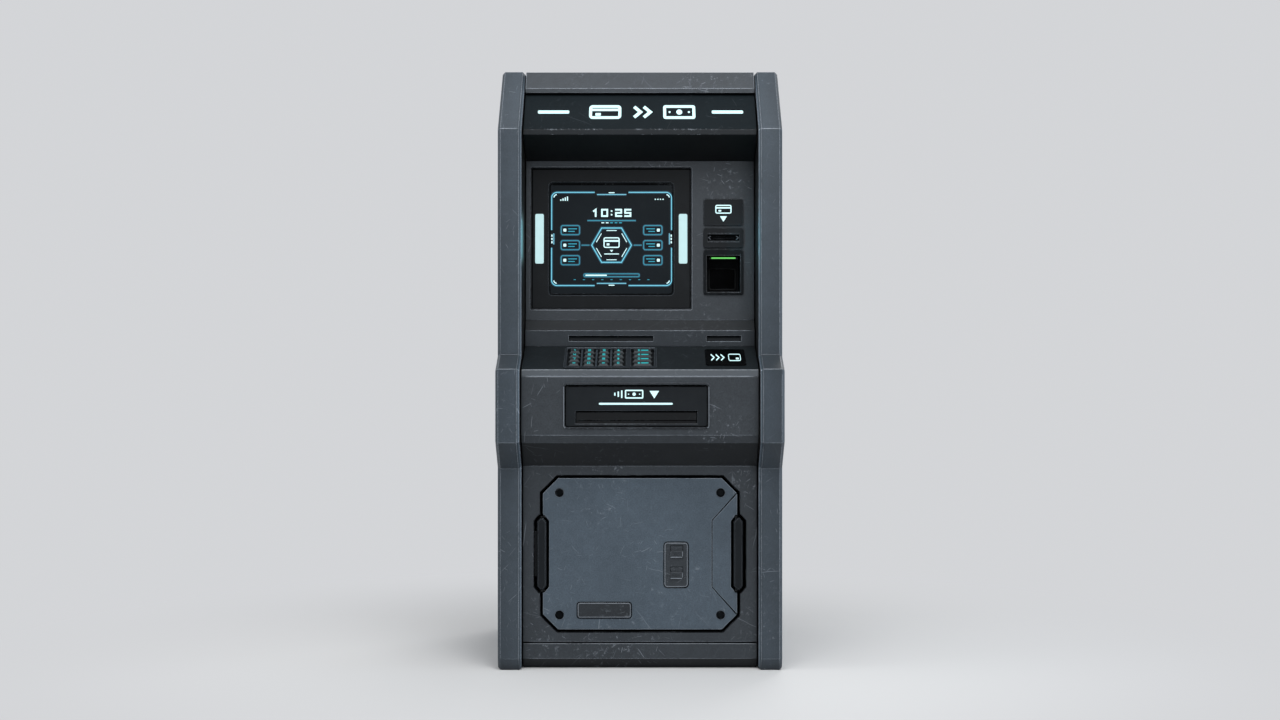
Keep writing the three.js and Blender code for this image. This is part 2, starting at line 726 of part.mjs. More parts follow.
function topCover() {
  const sheet = panelSheet([
    [signTop[0] + FLANGE, signTop[1]],
    [signTop[0] - LIP_OVERHANG, signTop[1]],
    [signTop[0] - LIP_OVERHANG, signTop[1] + LIP_RISE],
    [signTop[0] - LIP_OVERHANG + LIP_SLOPE_RUN, HEIGHT - ROOF_DROP],
    [wallY, HEIGHT - ROOF_DROP],
    [wallY, safeHeight + SEAT],
  ]);
  const hinges = rearHinges.flatMap((y) => [
    rodY(KNUCKLE_RADIUS, [y - KNUCKLE_LENGTH, y], [rearHingeX, KNUCKLE_RADIUS]),
    rodY(REAR_PIN_RADIUS, [y - SEAT, y + KNUCKLE_LENGTH - SEAT], [rearHingeX, KNUCKLE_RADIUS]),
    block(
      [rearHingeX, rearHingeX + KNUCKLE_REACH],
      [y - KNUCKLE_LENGTH, y],
      [-SHEET / 2, KNUCKLE_LEAF],
    ),
  ]);
  const jamb = cut(
    plate(inset(rectangle(rearOpening), -SHEET), -REAR_DOOR_DEPTH, -SHEET / 2),
    plate(rectangle(rearOpening), -REAR_DOOR_DEPTH - OVERCUT, OVERCUT),
  );
  const opening = plate(rectangle(rearOpening), -SHEET - OVERCUT, 0);
  const notch = block(
    [-CABLE_NOTCH[0] / 2, CABLE_NOTCH[0] / 2],
    [wallY - SHEET - OVERCUT, wallY + OVERCUT],
    [safeHeight, safeHeight + CABLE_NOTCH[1]],
  );
  const wall = cut(sheet, onFace(rearFace, opening), notch);
  return join(wall, onFace(rearFace, jamb), ...hinges.map((piece) => onFace(rearFace, piece)));
}

function rearDoor() {
  const outline = inset(rectangle(rearOpening), REAR_GAP);
  const pan = cut(
    plate(outline, -REAR_DOOR_DEPTH, 0),
    plate(inset(outline, SKIN), -REAR_DOOR_DEPTH - OVERCUT, -SKIN),
  );
  const knuckles = rearHinges.flatMap((y) => {
    const along = [y + SEAT, y + KNUCKLE_LENGTH];
    return [
      rodY(KNUCKLE_RADIUS, along, [rearHingeX, KNUCKLE_RADIUS]),
      block([rearHingeX - KNUCKLE_REACH, rearHingeX], along, [-SKIN / 2, KNUCKLE_LEAF]),
    ];
  });
  const bores = rearHinges.map((y) =>
    rodY(REAR_PIN_RADIUS + SEAT, [y - OVERCUT, y + KNUCKLE_LENGTH + OVERCUT], [rearHingeX, KNUCKLE_RADIUS]),
  );
  const louvres = [];
  const [louvreX, louvreY] = rearOpening.map((size, i) => size / 2 - LOUVRE_INSET[i]);
  for (const x of [-louvreX, louvreX]) {
    for (const group of [-louvreY, louvreY]) {
      for (let i = 0; i < LOUVRE_COUNT; i += 1) {
        const y = group + (i - (LOUVRE_COUNT - 1) / 2) * LOUVRE_PITCH;
        louvres.push(plate(rectangle(LOUVRE, [x, y]), -SKIN - OVERCUT, OVERCUT));
      }
    }
  }
  const knobHole = rodZ(KNOB_SHAFT + PLAY, [-SKIN - OVERCUT, OVERCUT], [knobX, 0]);
  return cut(join(pan, ...knuckles), ...bores, ...louvres, knobHole);
}

const knobX = -(rearOpening[0] / 2 - REAR_GAP - KNOB_OFFSET);

function rearLock() {
  const bottom = -REAR_DOOR_DEPTH + CAM[2];
  const knob = rodZ(KNOB_RADIUS, [SEAT, KNOB_HEIGHT], [knobX, 0]);
  const grip = block(
    [knobX - KNOB_SHAFT / 2, knobX + KNOB_SHAFT / 2],
    [-KNOB_RADIUS, KNOB_RADIUS],
    [KNOB_HEIGHT / 2, KNOB_HEIGHT + GRIP_RISE],
  );
  const shaft = rodZ(KNOB_SHAFT, [bottom - CAM[2], KNOB_HEIGHT / 2], [knobX, 0]);
  const cam = block(
    [knobX - CAM[0] / 2, knobX + CAM[0] / 2],
    [-CAM[1], CAM[0] / 2],
    [bottom - CAM[2], bottom],
  );
  return join(knob, grip, shaft, cam);
}

// ---------- Service door ----------

const hexHalf = hexHeight / 2 - HEX_GROOVE; // half height of the insert
const leafHalf = hexHeight / 2 - LEAF_INSET;
const handleX = hexX - HANDLE_OFFSET;

// Two lugs, above and below an insert, around a pin at x and reaching towards the door's middle.
function lugs(x) {
  const reach = x < 0 ? [x, x + LUG_REACH] : [x - LUG_REACH + HANDLE_OFFSET, x];
  return [
    [-hexHalf - SEAT - LUG_HEIGHT, -hexHalf - SEAT],
    [hexHalf + SEAT, hexHalf + SEAT + LUG_HEIGHT],
  ].flatMap((along) => [rodY(LUG_RADIUS, along, [x, 0]), block(reach, along, [-LUG_RADIUS, SEAT])]);
}

function serviceDoor() {
  const pan = cut(
    plate(doorOutline, -DOOR_THICKNESS, 0),
    plate(inset(doorOutline, DOOR_SKIN), -DOOR_THICKNESS - OVERCUT, -DOOR_SKIN),
  );
  const walls = [-1, 1].map((side) =>
    toGeometry(
      toSolid(plate(inset(hexOutline(side), -HEX_WALL), -DOOR_THICKNESS, -SHEET / 2)).intersect(
        toSolid(plate(doorOutline, -DOOR_THICKNESS, 0)),
      ),
    ),
  );
  const hexes = [-1, 1].map((side) => plate(hexOutline(side), -DOOR_THICKNESS - OVERCUT, OVERCUT));
  const doorHalf = doorOpening[0] / 2 - DOOR_GROOVE;
  const traceBend = hexHeight / 2 - TRACE_BEND_INSET;
  const traceEnd = doorOpening[1] / 2 - TRACE_END_INSET;
  const trace = [
    [doorHalf + OVERCUT, traceEnd + OVERCUT],
    [doorHalf - TRACE_INSET, traceBend],
    [doorHalf - TRACE_INSET, -traceBend],
    [doorHalf + OVERCUT, -traceEnd - OVERCUT],
  ];
  const studHoles = studPlaces().map((place) =>
    rodZ(STUD_RADIUS + SEAT, [-DOOR_SKIN - OVERCUT, OVERCUT], place),
  );
  const lockHole = rounded(
    [LOCK_SIZE[0] + 2 * LOCK_GROOVE, LOCK_SIZE[1] + 2 * LOCK_GROOVE],
    LOCK_RADIUS + LOCK_GROOVE,
    lockCentre,
  );
  const bore = (x) => rodY(PIN_RADIUS + SEAT, [-hexHeight / 2, hexHeight / 2], [x, 0]);
  const body = join(cut(join(pan, ...walls), ...hexes), ...lugs(-hexX), ...lugs(handleX));
  return cut(
    body,
    bore(-hexX),
    bore(handleX),
    ...studHoles,
    plate(lockHole, -DOOR_SKIN - OVERCUT, OVERCUT),
    plate(band(trace, TRACE_WIDTH), -TRACE_DEPTH, OVERCUT),
  );
}

function studPlaces() {
  const [x, y] = doorOpening.map((size, i) => size / 2 - STUD_INSET[i]);
  return [
    [-x, -y],
    [x, -y],
    [x, y],
    [-x, y],
  ];
}

function doorLiner() {
  const sheet = plate(inset(doorOutline, DOOR_SKIN + SEAT), -DOOR_THICKNESS, -DOOR_THICKNESS + LINER);
  const recesses = [-1, 1].map((side) =>
    plate(inset(hexOutline(side), -HEX_WALL - SEAT), -DOOR_THICKNESS - OVERCUT, OVERCUT),
  );
  const studs = studPlaces().map((place) => rodZ(STUD_RADIUS, [-DOOR_THICKNESS, STUD_PROUD], place));
  const lockCase = plate(
    rectangle([LOCK_SIZE[0], LOCK_SIZE[1]], lockCentre),
    -DOOR_THICKNESS,
    lockBack - SEAT,
  );
  return join(cut(sheet, ...recesses), ...studs, lockCase);
}

// The insert in a recess beside the door, seen as a long dark hexagon.
function insert(side) {
  return plate(inset(hexOutline(side), HEX_GROOVE), -INSERT_BACK, INSERT_PROUD, INSERT_CHAMFER);
}

function hingeCover() {
  const leaf = block(
    [-hexX - HEX_WIDTH / 2 + SEAT, -hexX],
    [-leafHalf, leafHalf],
    [-INSERT_BACK + INSERT_CHAMFER - SHEET, -INSERT_BACK + INSERT_CHAMFER],
  );
  const bore = rodY(PIN_RADIUS + SEAT, [-hexHeight / 2, hexHeight / 2], [-hexX, 0]);
  return cut(join(insert(-1), leaf), bore);
}

function hingePin() {
  const end = hexHalf + LUG_HEIGHT;
  return rodY(PIN_RADIUS, [-end, end], [-hexX, 0]);
}

function doorHandle() {
  const end = hexHalf + LUG_HEIGHT;
  const stub = HEX_SHOULDER;
  return join(
    insert(1),
    rodY(PIN_RADIUS, [-end, -hexHalf + stub], [handleX, 0]),
    rodY(PIN_RADIUS, [hexHalf - stub, end], [handleX, 0]),
  );
}

const lockBack = -DOOR_SKIN - SEAT - LOCK_LIP_THICKNESS;

function latchPlace(side) {
  return [lockCentre[0] + LATCH_SHIFT, lockCentre[1] + side * LATCH_SPREAD];
}

function lockPlate() {
  const lip = [LOCK_SIZE[0] + 2 * LOCK_LIP, LOCK_SIZE[1] + 2 * LOCK_LIP];
  const body = join(
    plate(rounded(LOCK_SIZE, LOCK_RADIUS, lockCentre), lockBack, LOCK_PROUD),
    plate(rounded(lip, LOCK_RADIUS, lockCentre), lockBack, lockBack + LOCK_LIP_THICKNESS),
  );
  const holes = [-1, 1].flatMap((side) => {
    const [x, y] = latchPlace(side);
    const guide = [LATCH_STEM[0] + 2 * PLAY, LATCH_STEM[1] + LATCH_TRAVEL + 2 * PLAY];
    return [
      plate(
        rectangle(guide, [x - LATCH_STEM_OFFSET, y + LATCH_TRAVEL / 2]),
        lockBack - OVERCUT,
        LOCK_PROUD + OVERCUT,
      ),
      rodZ(KEYHOLE_RADIUS, [lockBack - OVERCUT, LOCK_PROUD + OVERCUT], [x + LATCH_STEM_OFFSET, y]),
    ];
  });
  return cut(body, ...holes);
}

function lockLatch(side) {
  const [x, y] = latchPlace(side);
  const low = LOCK_PROUD + SEAT;
  return join(
    plate(rectangle(LATCH_SIZE, [x, y]), low, low + LATCH_THICKNESS, LATCH_CHAMFER),
    plate(rectangle(LATCH_STEM, [x - LATCH_STEM_OFFSET, y]), lockBack + SEAT, low + LATCH_THICKNESS / 2),
  );
}

function labelPlate() {
  return plate(rounded(LABEL_SIZE, LABEL_RADIUS, labelCentre), SEAT, SEAT + LABEL_THICKNESS);
}

// ---------- Cash slot ----------

const slotCentre = [CASH_CENTRE[0], CASH_CENTRE[1] - SLOT_DROP];
const bezelBack = -SHEET - SEAT - CASH_FLANGE;
const shutterSize = [SLOT_SIZE[0] + 2 * SHUTTER_LAP, SLOT_SIZE[1] + 2 * SHUTTER_LAP];
const shutterBack = bezelBack - SEAT - SHUTTER_THICKNESS;
const railBack = shutterBack - PLAY - SHEET;

function cashBezel() {
  const outer = rounded(CASH_SIZE, CASH_RADIUS, CASH_CENTRE);
  const body = join(
    plate(outer, bezelBack, CASH_PROUD, CASH_CHAMFER),
    plate(inset(outer, -CASH_FLANGE_REACH), bezelBack, bezelBack + CASH_FLANGE),
  );
  const [x, y] = slotCentre;
  const [halfShutter, halfHeight] = shutterSize.map((size) => size / 2);
  const railFoot = y - halfHeight - SEAT - SHEET;
  const railTop = y + halfHeight + SHUTTER_TRAVEL;
  const rails = [-1, 1].flatMap((side) => {
    const across = (from, to) => [x + side * from, x + side * to].sort((a, b) => a - b);
    const outside = halfShutter + PLAY;
    return [
      block(across(outside, outside + RAIL), [railFoot, railTop], [railBack, bezelBack + SEAT]),
      block(across(outside - RAIL, outside + RAIL), [railFoot, railTop], [railBack, railBack + SHEET]),
      block(
        across(outside - RAIL, outside + RAIL),
        [railFoot, railFoot + SHEET],
        [railBack, bezelBack + SEAT],
      ),
    ];
  });
  const pocket = plate(inset(outer, CASH_RIM), CASH_PROUD - CASH_POCKET, CASH_PROUD + OVERCUT);
  const slot = plate(rectangle(SLOT_SIZE, slotCentre), railBack - OVERCUT, CASH_PROUD + OVERCUT);
  return cut(join(body, ...rails), pocket, slot);
}

function cashShutter() {
  return plate(rectangle(shutterSize, slotCentre), shutterBack, shutterBack + SHUTTER_THICKNESS);
}

// ---------- Keypad ----------

function keypadBody(clearance, low, high) {
  const size = KEYPAD_SIZE.map((length) => length - 2 * KEYPAD_RIM + 2 * clearance);
  return plate(rectangle(size, keypadCentre), low, high);
}

// Every key as its name, size and place on the shelf, numbered from the back row's left.
function keyList() {
  const keys = [];
  for (let row = 0; row < KEY_ROWS; row += 1) {
    const y = keypadCentre[1] + ((KEY_ROWS - 1) / 2 - row) * KEY_PITCH[1];
    for (let column = 0; column < KEY_COLUMNS; column += 1) {
      const x = keypadCentre[0] + NARROW_OFFSET + (column - (KEY_COLUMNS - 1) / 2) * KEY_PITCH[0];
      keys.push({ name: `key_${row + 1}_${column + 1}`, size: KEY_SIZE, place: [x, y] });
    }
    const place = [keypadCentre[0] + WIDE_OFFSET, y];
    keys.push({ name: `key_function_${row + 1}`, size: [WIDE_KEY, KEY_SIZE[1]], place });
  }
  return keys;
}

function keypadFrame() {
  const rim = plate(rounded(KEYPAD_SIZE, KEYPAD_RADIUS, keypadCentre), SEAT, KEYPAD_PROUD);
  const wellLength = (KEY_ROWS - 1) * KEY_PITCH[1] + KEY_SIZE[1] + 2 * WELL_MARGIN;
  const narrowWidth = (KEY_COLUMNS - 1) * KEY_PITCH[0] + KEY_SIZE[0] + 2 * WELL_MARGIN;
  const well = (width, offset) =>
    plate(
      rectangle([width, wellLength], [keypadCentre[0] + offset, keypadCentre[1]]),
      -WELL_FLOOR,
      KEYPAD_PROUD + OVERCUT,
    );
  const stemHoles = keyList().map(({ place }) =>
    plate(
      rectangle([KEY_STEM + 2 * PLAY, KEY_STEM + 2 * PLAY], place),
      -KEYPAD_DEPTH + SHEET,
      -WELL_FLOOR + OVERCUT,
    ),
  );
  return cut(
    join(rim, keypadBody(0, -KEYPAD_DEPTH, KEYPAD_PROUD - SEAT)),
    well(narrowWidth, NARROW_OFFSET),
    well(WIDE_KEY + 2 * WELL_MARGIN, WIDE_OFFSET),
    ...stemHoles,
  );
}

function key({ size, place }) {
  const low = -WELL_FLOOR + KEY_TRAVEL + PLAY;
  return join(
    plate(rectangle(size, place), low, KEY_PROUD, KEY_CHAMFER),
    plate(rectangle([KEY_STEM, KEY_STEM], place), low - KEY_STEM_LENGTH, low + KEY_CHAMFER),
  );
}

function contactlessReader() {
  return join(
    plate(rounded(READER_SIZE, KEYPAD_RADIUS, readerCentre), SEAT, READER_PROUD, EDGE_CHAMFER),
    rodZ(READER_BOSS, [-KEYPAD_DEPTH, READER_PROUD / 2], readerCentre),
  );
}

// ---------- Face panel units ----------

const screenOutline = rounded(screenSize, SCREEN_RADIUS, screenCentre);
const cardBodyOutline = rectangle([CARD_BODY[0], CARD_BODY[1]], [columnX, CARD_UP]);
const scannerCentre = [columnX, SCANNER_UP - SCANNER_CAVITY_DROP];
const scannerBodyOutline = rectangle(
  [SCANNER_CAVITY[0] + 2 * SCANNER_WALL, SCANNER_CAVITY[1] + 2 * SCANNER_WALL],
  scannerCentre,
);
const screenBack = -SCREEN_RECESS - SCREEN_FLOOR;

function barOutline(side) {
  const x = screenCentre[0] + side * (screenSize[0] / 2 - BAR_INSET);
  return rounded(BAR_SIZE, BAR_RADIUS, [x, screenCentre[1]]);
}

function screenBezel() {
  const flange = -SHEET - SEAT;
  const body = join(
    plate(screenOutline, screenBack, 0),
    plate(inset(screenOutline, -SCREEN_FLANGE), flange - SHEET, flange),
  );
  const through = (outline) => plate(outline, screenBack - OVERCUT, OVERCUT);
  return cut(
    body,
    plate(inset(screenOutline, SCREEN_RIM), -SCREEN_RECESS, OVERCUT),
    through(rounded(glassSize, GLASS_RADIUS, screenCentre)),
    through(inset(barOutline(-1), -SEAT)),
    through(inset(barOutline(1), -SEAT)),
  );
}

function displayScreen() {
  const size = glassSize.map((length) => length + 2 * GLASS_LAP);
  return plate(rectangle(size, screenCentre), screenBack - SEAT - MODULE_DEPTH, screenBack - SEAT);
}

function lightBar(side) {
  const high = -SCREEN_RECESS + BAR_PROUD;
  return plate(barOutline(side), high - BAR_DEPTH, high, BAR_CHAMFER);
}

function cardSign() {
  const size = [COLUMN_WIDTH, CARD_SIGN_HEIGHT];
  const place = [columnX, CARD_SIGN_UP];
  return plate(rounded(size, COLUMN_RADIUS, place), SEAT, CARD_SIGN_PROUD, EDGE_CHAMFER);
}

function cardReader() {
  const place = [columnX, CARD_UP];
  const bezel = rounded([COLUMN_WIDTH, CARD_HEIGHT], COLUMN_RADIUS, place);
  const body = join(
    plate(bezel, SEAT, CARD_PROUD, EDGE_CHAMFER),
    plate(cardBodyOutline, -CARD_BODY[2], CARD_PROUD / 2),
  );
  return cut(
    body,
    plate(rectangle(CARD_MOUTH, place), CARD_PROUD - CARD_MOUTH_DEPTH, CARD_PROUD + OVERCUT),
    plate(rectangle(CARD_SLOT, place), -CARD_BODY[2] - OVERCUT, CARD_PROUD),
  );
}

function scannerBay() {
  const bezel = rounded([COLUMN_WIDTH, SCANNER_HEIGHT], COLUMN_RADIUS, [columnX, SCANNER_UP]);
  const [width, height, depth] = SCANNER_CAVITY;
  const body = join(
    plate(bezel, SEAT, SCANNER_PROUD, EDGE_CHAMFER),
    plate(scannerBodyOutline, -depth - SCANNER_WALL, SCANNER_PROUD / 2),
  );
  return cut(body, plate(rectangle([width, height], scannerCentre), -depth, SCANNER_PROUD + OVERCUT));
}

// ---------- Receipt printer ----------

const printerY = shelfBack[0] + SHEET + SEAT;
const printerZ = shelfBack[1] + SEAT + SHEET + SEAT;
const printerTop = shelfBack[1] + SLOT_UP + SLOT_HEIGHT / 2 + PRINTER_PLATE;
const rollPlace = [printerY + ROLL_BACK, shelfBack[1] + SLOT_UP + ROLL_LIFT];

function receiptPrinter() {
  const half = PRINTER_WIDTH / 2;
  const base = block(
    [columnX - half, columnX + half],
    [printerY, printerY + PRINTER_DEPTH],
    [printerZ, printerTop],
  );
  const arms = [-1, 1].map((side) => {
    const across = [columnX + side * half, columnX + side * (half - PRINTER_PLATE)].sort((a, b) => a - b);
    const top = rollPlace[1] + CHEEK_RISE;
    return block(across, [printerY + PRINTER_ARM, printerY + PRINTER_DEPTH], [printerTop - SHEET, top]);
  });
  const slotZ = shelfBack[1] + SLOT_UP;
  const throat = block(
    [columnX - SHORT_SLOT / 2, columnX + SHORT_SLOT / 2],
    [printerY - OVERCUT, printerY + PRINTER_ARM],
    [slotZ - SLOT_HEIGHT / 2, slotZ + SLOT_HEIGHT / 2],
  );
  const spindle = rodX(ROLL_BORE + SEAT, [columnX - half - OVERCUT, columnX + half + OVERCUT], rollPlace);
  return cut(join(base, ...arms), throat, spindle);
}

function paperRoll() {
  const half = PRINTER_WIDTH / 2;
  const inner = half - PRINTER_PLATE - PLAY;
  return join(
    rodX(ROLL_RADIUS, [columnX - inner, columnX + inner], rollPlace),
    rodX(ROLL_BORE, [columnX - half, columnX + half], rollPlace),
  );
}

// ---------- Safe and cash unit ----------

const unitX = CASH_CENTRE[0];
const throatHalf = SLOT_SIZE[0] / 2;
const throatZ = [
  cashFoot[1] + slotCentre[1] - SLOT_SIZE[1] / 2 - SHEET,
  cashFoot[1] + slotCentre[1] + SLOT_SIZE[1] / 2 + SHEET,
];
const riserDepth = throatZ[1] - throatZ[0];
const riserY = [bodyY + THROAT_BACK - riserDepth, bodyY + THROAT_BACK];
const safeShelfZ = doorCentreZ - doorOpening[1] / 2 + SAFE_SHELF_RISE;
const unitFloor = safeShelfZ + SAFE_SHELF + SEAT;
const cassetteZ = [0, 1].map(
  (level) => unitFloor + UNIT_PLATE + SEAT + level * (CASSETTE[1] + UNIT_PLATE + 2 * SEAT),
);
const unitTopZ = cassetteZ[1] + CASSETTE[1] + SEAT;
const cassetteY = [safeFrontY + CASSETTE_SETBACK, safeFrontY + CASSETTE_SETBACK + CASSETTE[2]];
const pickY = [cassetteY[1] + SEAT, cassetteY[1] + SEAT + UNIT_PICK_DEPTH];

function safeBody() {
  const outer = block([-safeHalf, safeHalf], [safeFrontY, safeRearY], [0, safeHeight]);
  const innerX = [-safeHalf + SAFE_WALL, safeHalf - SAFE_WALL];
  const cavity = block(
    innerX,
    [safeFrontY - OVERCUT, safeRearY - SAFE_WALL],
    [SAFE_WALL, safeHeight - SAFE_WALL],
  );
  const shelf = block(
    [-safeHalf + SAFE_WALL / 2, safeHalf - SAFE_WALL / 2],
    [safeFrontY + SAFE_WALL, safeRearY - SAFE_WALL / 2],
    [safeShelfZ, safeShelfZ + SAFE_SHELF],
  );
  const anchorX = safeHalf - ANCHOR_INSET[0];
  const anchors = [-anchorX, anchorX].flatMap((x) =>
    [safeFrontY + ANCHOR_INSET[1], safeRearY - ANCHOR_INSET[1]].map((y) =>
      rodZ(ANCHOR_RADIUS, [-OVERCUT, SAFE_WALL + OVERCUT], [x, y]),
    ),
  );
  const riserHole = block(
    [unitX - throatHalf - THROAT_WALL - SEAT, unitX + throatHalf + THROAT_WALL + SEAT],
    [riserY[0] - SEAT, riserY[1] + SEAT],
    [safeHeight - SAFE_WALL - OVERCUT, safeHeight + OVERCUT],
  );
  return cut(join(cut(outer, cavity), shelf), ...anchors, riserHole);
}

// A cassette is a tray of notes, open on top under the plate of the unit above it.
function cassette(level) {
  const [width, height] = CASSETTE;
  const x = [unitX - width / 2, unitX + width / 2];
  const z = [cassetteZ[level], cassetteZ[level] + height];
  const body = block(x, cassetteY, z);
  const inside = block(
    [x[0] + CASSETTE_WALL, x[1] - CASSETTE_WALL],
    [cassetteY[0] + CASSETTE_WALL, cassetteY[1] - CASSETTE_WALL],
    [z[0] + CASSETTE_WALL, z[1] + OVERCUT],
  );
  const middle = (z[0] + z[1]) / 2;
  const mouth = block(
    [unitX - CASSETTE_MOUTH[0] / 2, unitX + CASSETTE_MOUTH[0] / 2],
    [cassetteY[1] - CASSETTE_WALL - OVERCUT, cassetteY[1] + OVERCUT],
    [middle - CASSETTE_MOUTH[1] / 2, middle + CASSETTE_MOUTH[1] / 2],
  );
  const [gripWidth, gripHeight, gripWall] = CASSETTE_GRIP;
  const grip = cut(
    block(
      [unitX - gripWidth / 2, unitX + gripWidth / 2],
      [cassetteY[0] - gripHeight, cassetteY[0] + CASSETTE_WALL / 2],
      [middle - gripWall, middle + gripWall],
    ),
    block(
      [unitX - gripWidth / 2 + 2 * gripWall, unitX + gripWidth / 2 - 2 * gripWall],
      [cassetteY[0] - gripHeight + 2 * gripWall, cassetteY[0]],
      [middle - gripWall - OVERCUT, middle + gripWall + OVERCUT],
    ),
  );
  return join(cut(body, inside, mouth), grip);
}

function cashDispenser() {
  const half = CASSETTE[0] / 2 + PLAY;
  const sides = [-1, 1].map((side) => {
    const across = [unitX + side * half, unitX + side * (half + UNIT_PLATE)].sort((a, b) => a - b);
    return block(across, [cassetteY[0], pickY[1]], [unitFloor, unitTopZ + UNIT_PLATE]);
  });
  const wide = [unitX - half - UNIT_PLATE, unitX + half + UNIT_PLATE];
  const floors = cassetteZ.map((z) =>
    block(wide, [cassetteY[0], pickY[1]], [z - SEAT - UNIT_PLATE, z - SEAT]),
  );
  const pick = block(wide, pickY, [unitFloor, unitTopZ + UNIT_PLATE]);
  const pickHollow = block(
    [wide[0] + UNIT_PLATE, wide[1] - UNIT_PLATE],
    [pickY[0] - OVERCUT, pickY[1] - UNIT_PLATE],
    [unitFloor + 2 * UNIT_PLATE, unitTopZ - UNIT_PLATE],
  );
  const across = [unitX - throatHalf - THROAT_WALL, unitX + throatHalf + THROAT_WALL];
  const transport = block(across, [riserY[0], pickY[1]], [unitTopZ, unitTopZ + UNIT_TOP_HEIGHT]);
  const throatFront = cashY - railBack + SEAT;
  const duct = [
    [throatFront, throatZ[0]],
    [riserY[0], throatZ[0]],
    [riserY[0], unitTopZ + UNIT_TOP_HEIGHT / 2],
    [riserY[1], unitTopZ + UNIT_TOP_HEIGHT / 2],
    [riserY[1], throatZ[1]],
    [throatFront, throatZ[1]],
  ];
  const bore = [
    [throatFront - OVERCUT, throatZ[0] + THROAT_WALL],
    [riserY[0] + THROAT_WALL, throatZ[0] + THROAT_WALL],
    [riserY[0] + THROAT_WALL, unitTopZ + THROAT_WALL],
    [pickY[1] - THROAT_WALL, unitTopZ + THROAT_WALL],
    [pickY[1] - THROAT_WALL, unitTopZ + UNIT_TOP_HEIGHT - THROAT_WALL],
    [riserY[1] - THROAT_WALL, unitTopZ + UNIT_TOP_HEIGHT - THROAT_WALL],
    [riserY[1] - THROAT_WALL, throatZ[1] - THROAT_WALL],
    [throatFront - OVERCUT, throatZ[1] - THROAT_WALL],
  ];
  return cut(
    join(cut(join(...sides, ...floors, pick), pickHollow), transport, profile(duct, ...across)),
    profile(bore, across[0] + THROAT_WALL, across[1] - THROAT_WALL),
  );
}

// ---------- Computer ----------

function computer() {
  const [width, height, depth] = COMPUTER;
  const x = COMPUTER_MARGIN + width / 2 - bodyHalf;
  const y = wallY - COMPUTER_REAR_GAP - depth / 2;
  const floor = safeHeight + SEAT;
  const shell = block(
    [x - width / 2, x + width / 2],
    [y - depth / 2, y + depth / 2],
    [floor, floor + height],
  );
  const inside = block(
    [x - width / 2 + SKIN, x + width / 2 - SKIN],
    [y - depth / 2 + SKIN, y + depth / 2 - SKIN],
    [floor + SKIN, floor + height - SKIN],
  );
  const vents = [];
  for (let i = 0; i < VENT_COUNT; i += 1) {
    const z = floor + height / 2 + (i - (VENT_COUNT - 1) / 2) * VENT_PITCH;
    vents.push(
      block(
        [x - VENT[0] / 2, x + VENT[0] / 2],
        [y + depth / 2 - OVERCUT, y + depth / 2 + OVERCUT],
        [z - VENT[1] / 2, z + VENT[1] / 2],
      ),
    );
  }
  return cut(shell, inside, ...vents);
}

// ---------- The machine ----------

addPiece("side_panel_left", sidePanel(-1), "sidePaint");
addPiece("side_panel_right", sidePanel(1), "sidePaint");
addPiece("top_cover", topCover(), "frontPaint");
addPiece("sign_panel", signPanel(), "shelfPaint");
addPiece("header_soffit", headerSoffit(), "frontPaint");
addPiece("face_panel", facePanel(), "frontPaint");
addPiece("ledge_panel", ledgePanel(), "frontPaint");
addPiece("keypad_shelf", keypadShelf(), "shelfPaint");
addPiece("cash_panel", cashPanel(), "frontPaint");
addPiece("lower_frame", lowerFrame(), "frontPaint");
addPiece("kick_plate", kickPlate(), "frontPaint");

addPiece("screen_bezel", screenBezel(), "blackPlastic", screenFace);
addPiece("display_screen", displayScreen(), "glass", screenFace);
addPiece("light_bar_left", lightBar(-1), "lamp", screenFace);
addPiece("light_bar_right", lightBar(1), "lamp", screenFace);
addPiece("card_sign", cardSign(), "blackPlastic", screenFace);
addPiece("card_reader", cardReader(), "blackPlastic", screenFace);
addPiece("scanner_bay", scannerBay(), "blackPlastic", screenFace);

addPiece("receipt_printer", receiptPrinter(), "blackPlastic");
addPiece("paper_roll", paperRoll(), "paper");

addPiece("keypad_frame", keypadFrame(), "blackPlastic", shelfFace);
addPiece("contactless_reader", contactlessReader(), "blackPlastic", shelfFace);
for (const entry of keyList()) {
  addPiece(entry.name, key(entry), "keyPlastic", shelfFace);
}

addPiece("cash_bezel", cashBezel(), "blackPlastic", cashFace);
addPiece("cash_shutter", cashShutter(), "blackSteel", cashFace);

addPiece("service_door", serviceDoor(), "sidePaint", doorFace);
addPiece("door_liner", doorLiner(), "blackSteel", doorFace);
addPiece("hinge_cover", hingeCover(), "blackPlastic", doorFace);
addPiece("hinge_pin", hingePin(), "steel", doorFace);
addPiece("door_handle", doorHandle(), "blackPlastic", doorFace);
addPiece("lock_plate", lockPlate(), "frontPaint", doorFace);
addPiece("lock_latch_upper", lockLatch(1), "frontPaint", doorFace);
addPiece("lock_latch_lower", lockLatch(-1), "frontPaint", doorFace);
addPiece("label_plate", labelPlate(), "frontPaint", doorFace);

addPiece("safe_body", safeBody(), "safeSteel");
addPiece("cassette_lower", cassette(0), "blackPlastic");
addPiece("cassette_upper", cassette(1), "blackPlastic");
addPiece("cash_dispenser", cashDispenser(), "steel");
addPiece("computer", computer(), "safeSteel");

addPiece("rear_door", rearDoor(), "frontPaint", rearFace);
addPiece("rear_lock", rearLock(), "steel", rearFace);

export default machine;
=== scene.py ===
"""Looks of a free-standing cash machine: worn paint, lit signs, a keypad, a display and small fittings.

It is laid out as a Blender add-on and run as a script. Lengths are in metres, +Z is up, and the customer
stands on the -Y side. Pieces that lie on a face of the machine are drawn flat, x across and y up the face
and z out of it, and are then carried onto the front of the CAD node that holds them.
"""

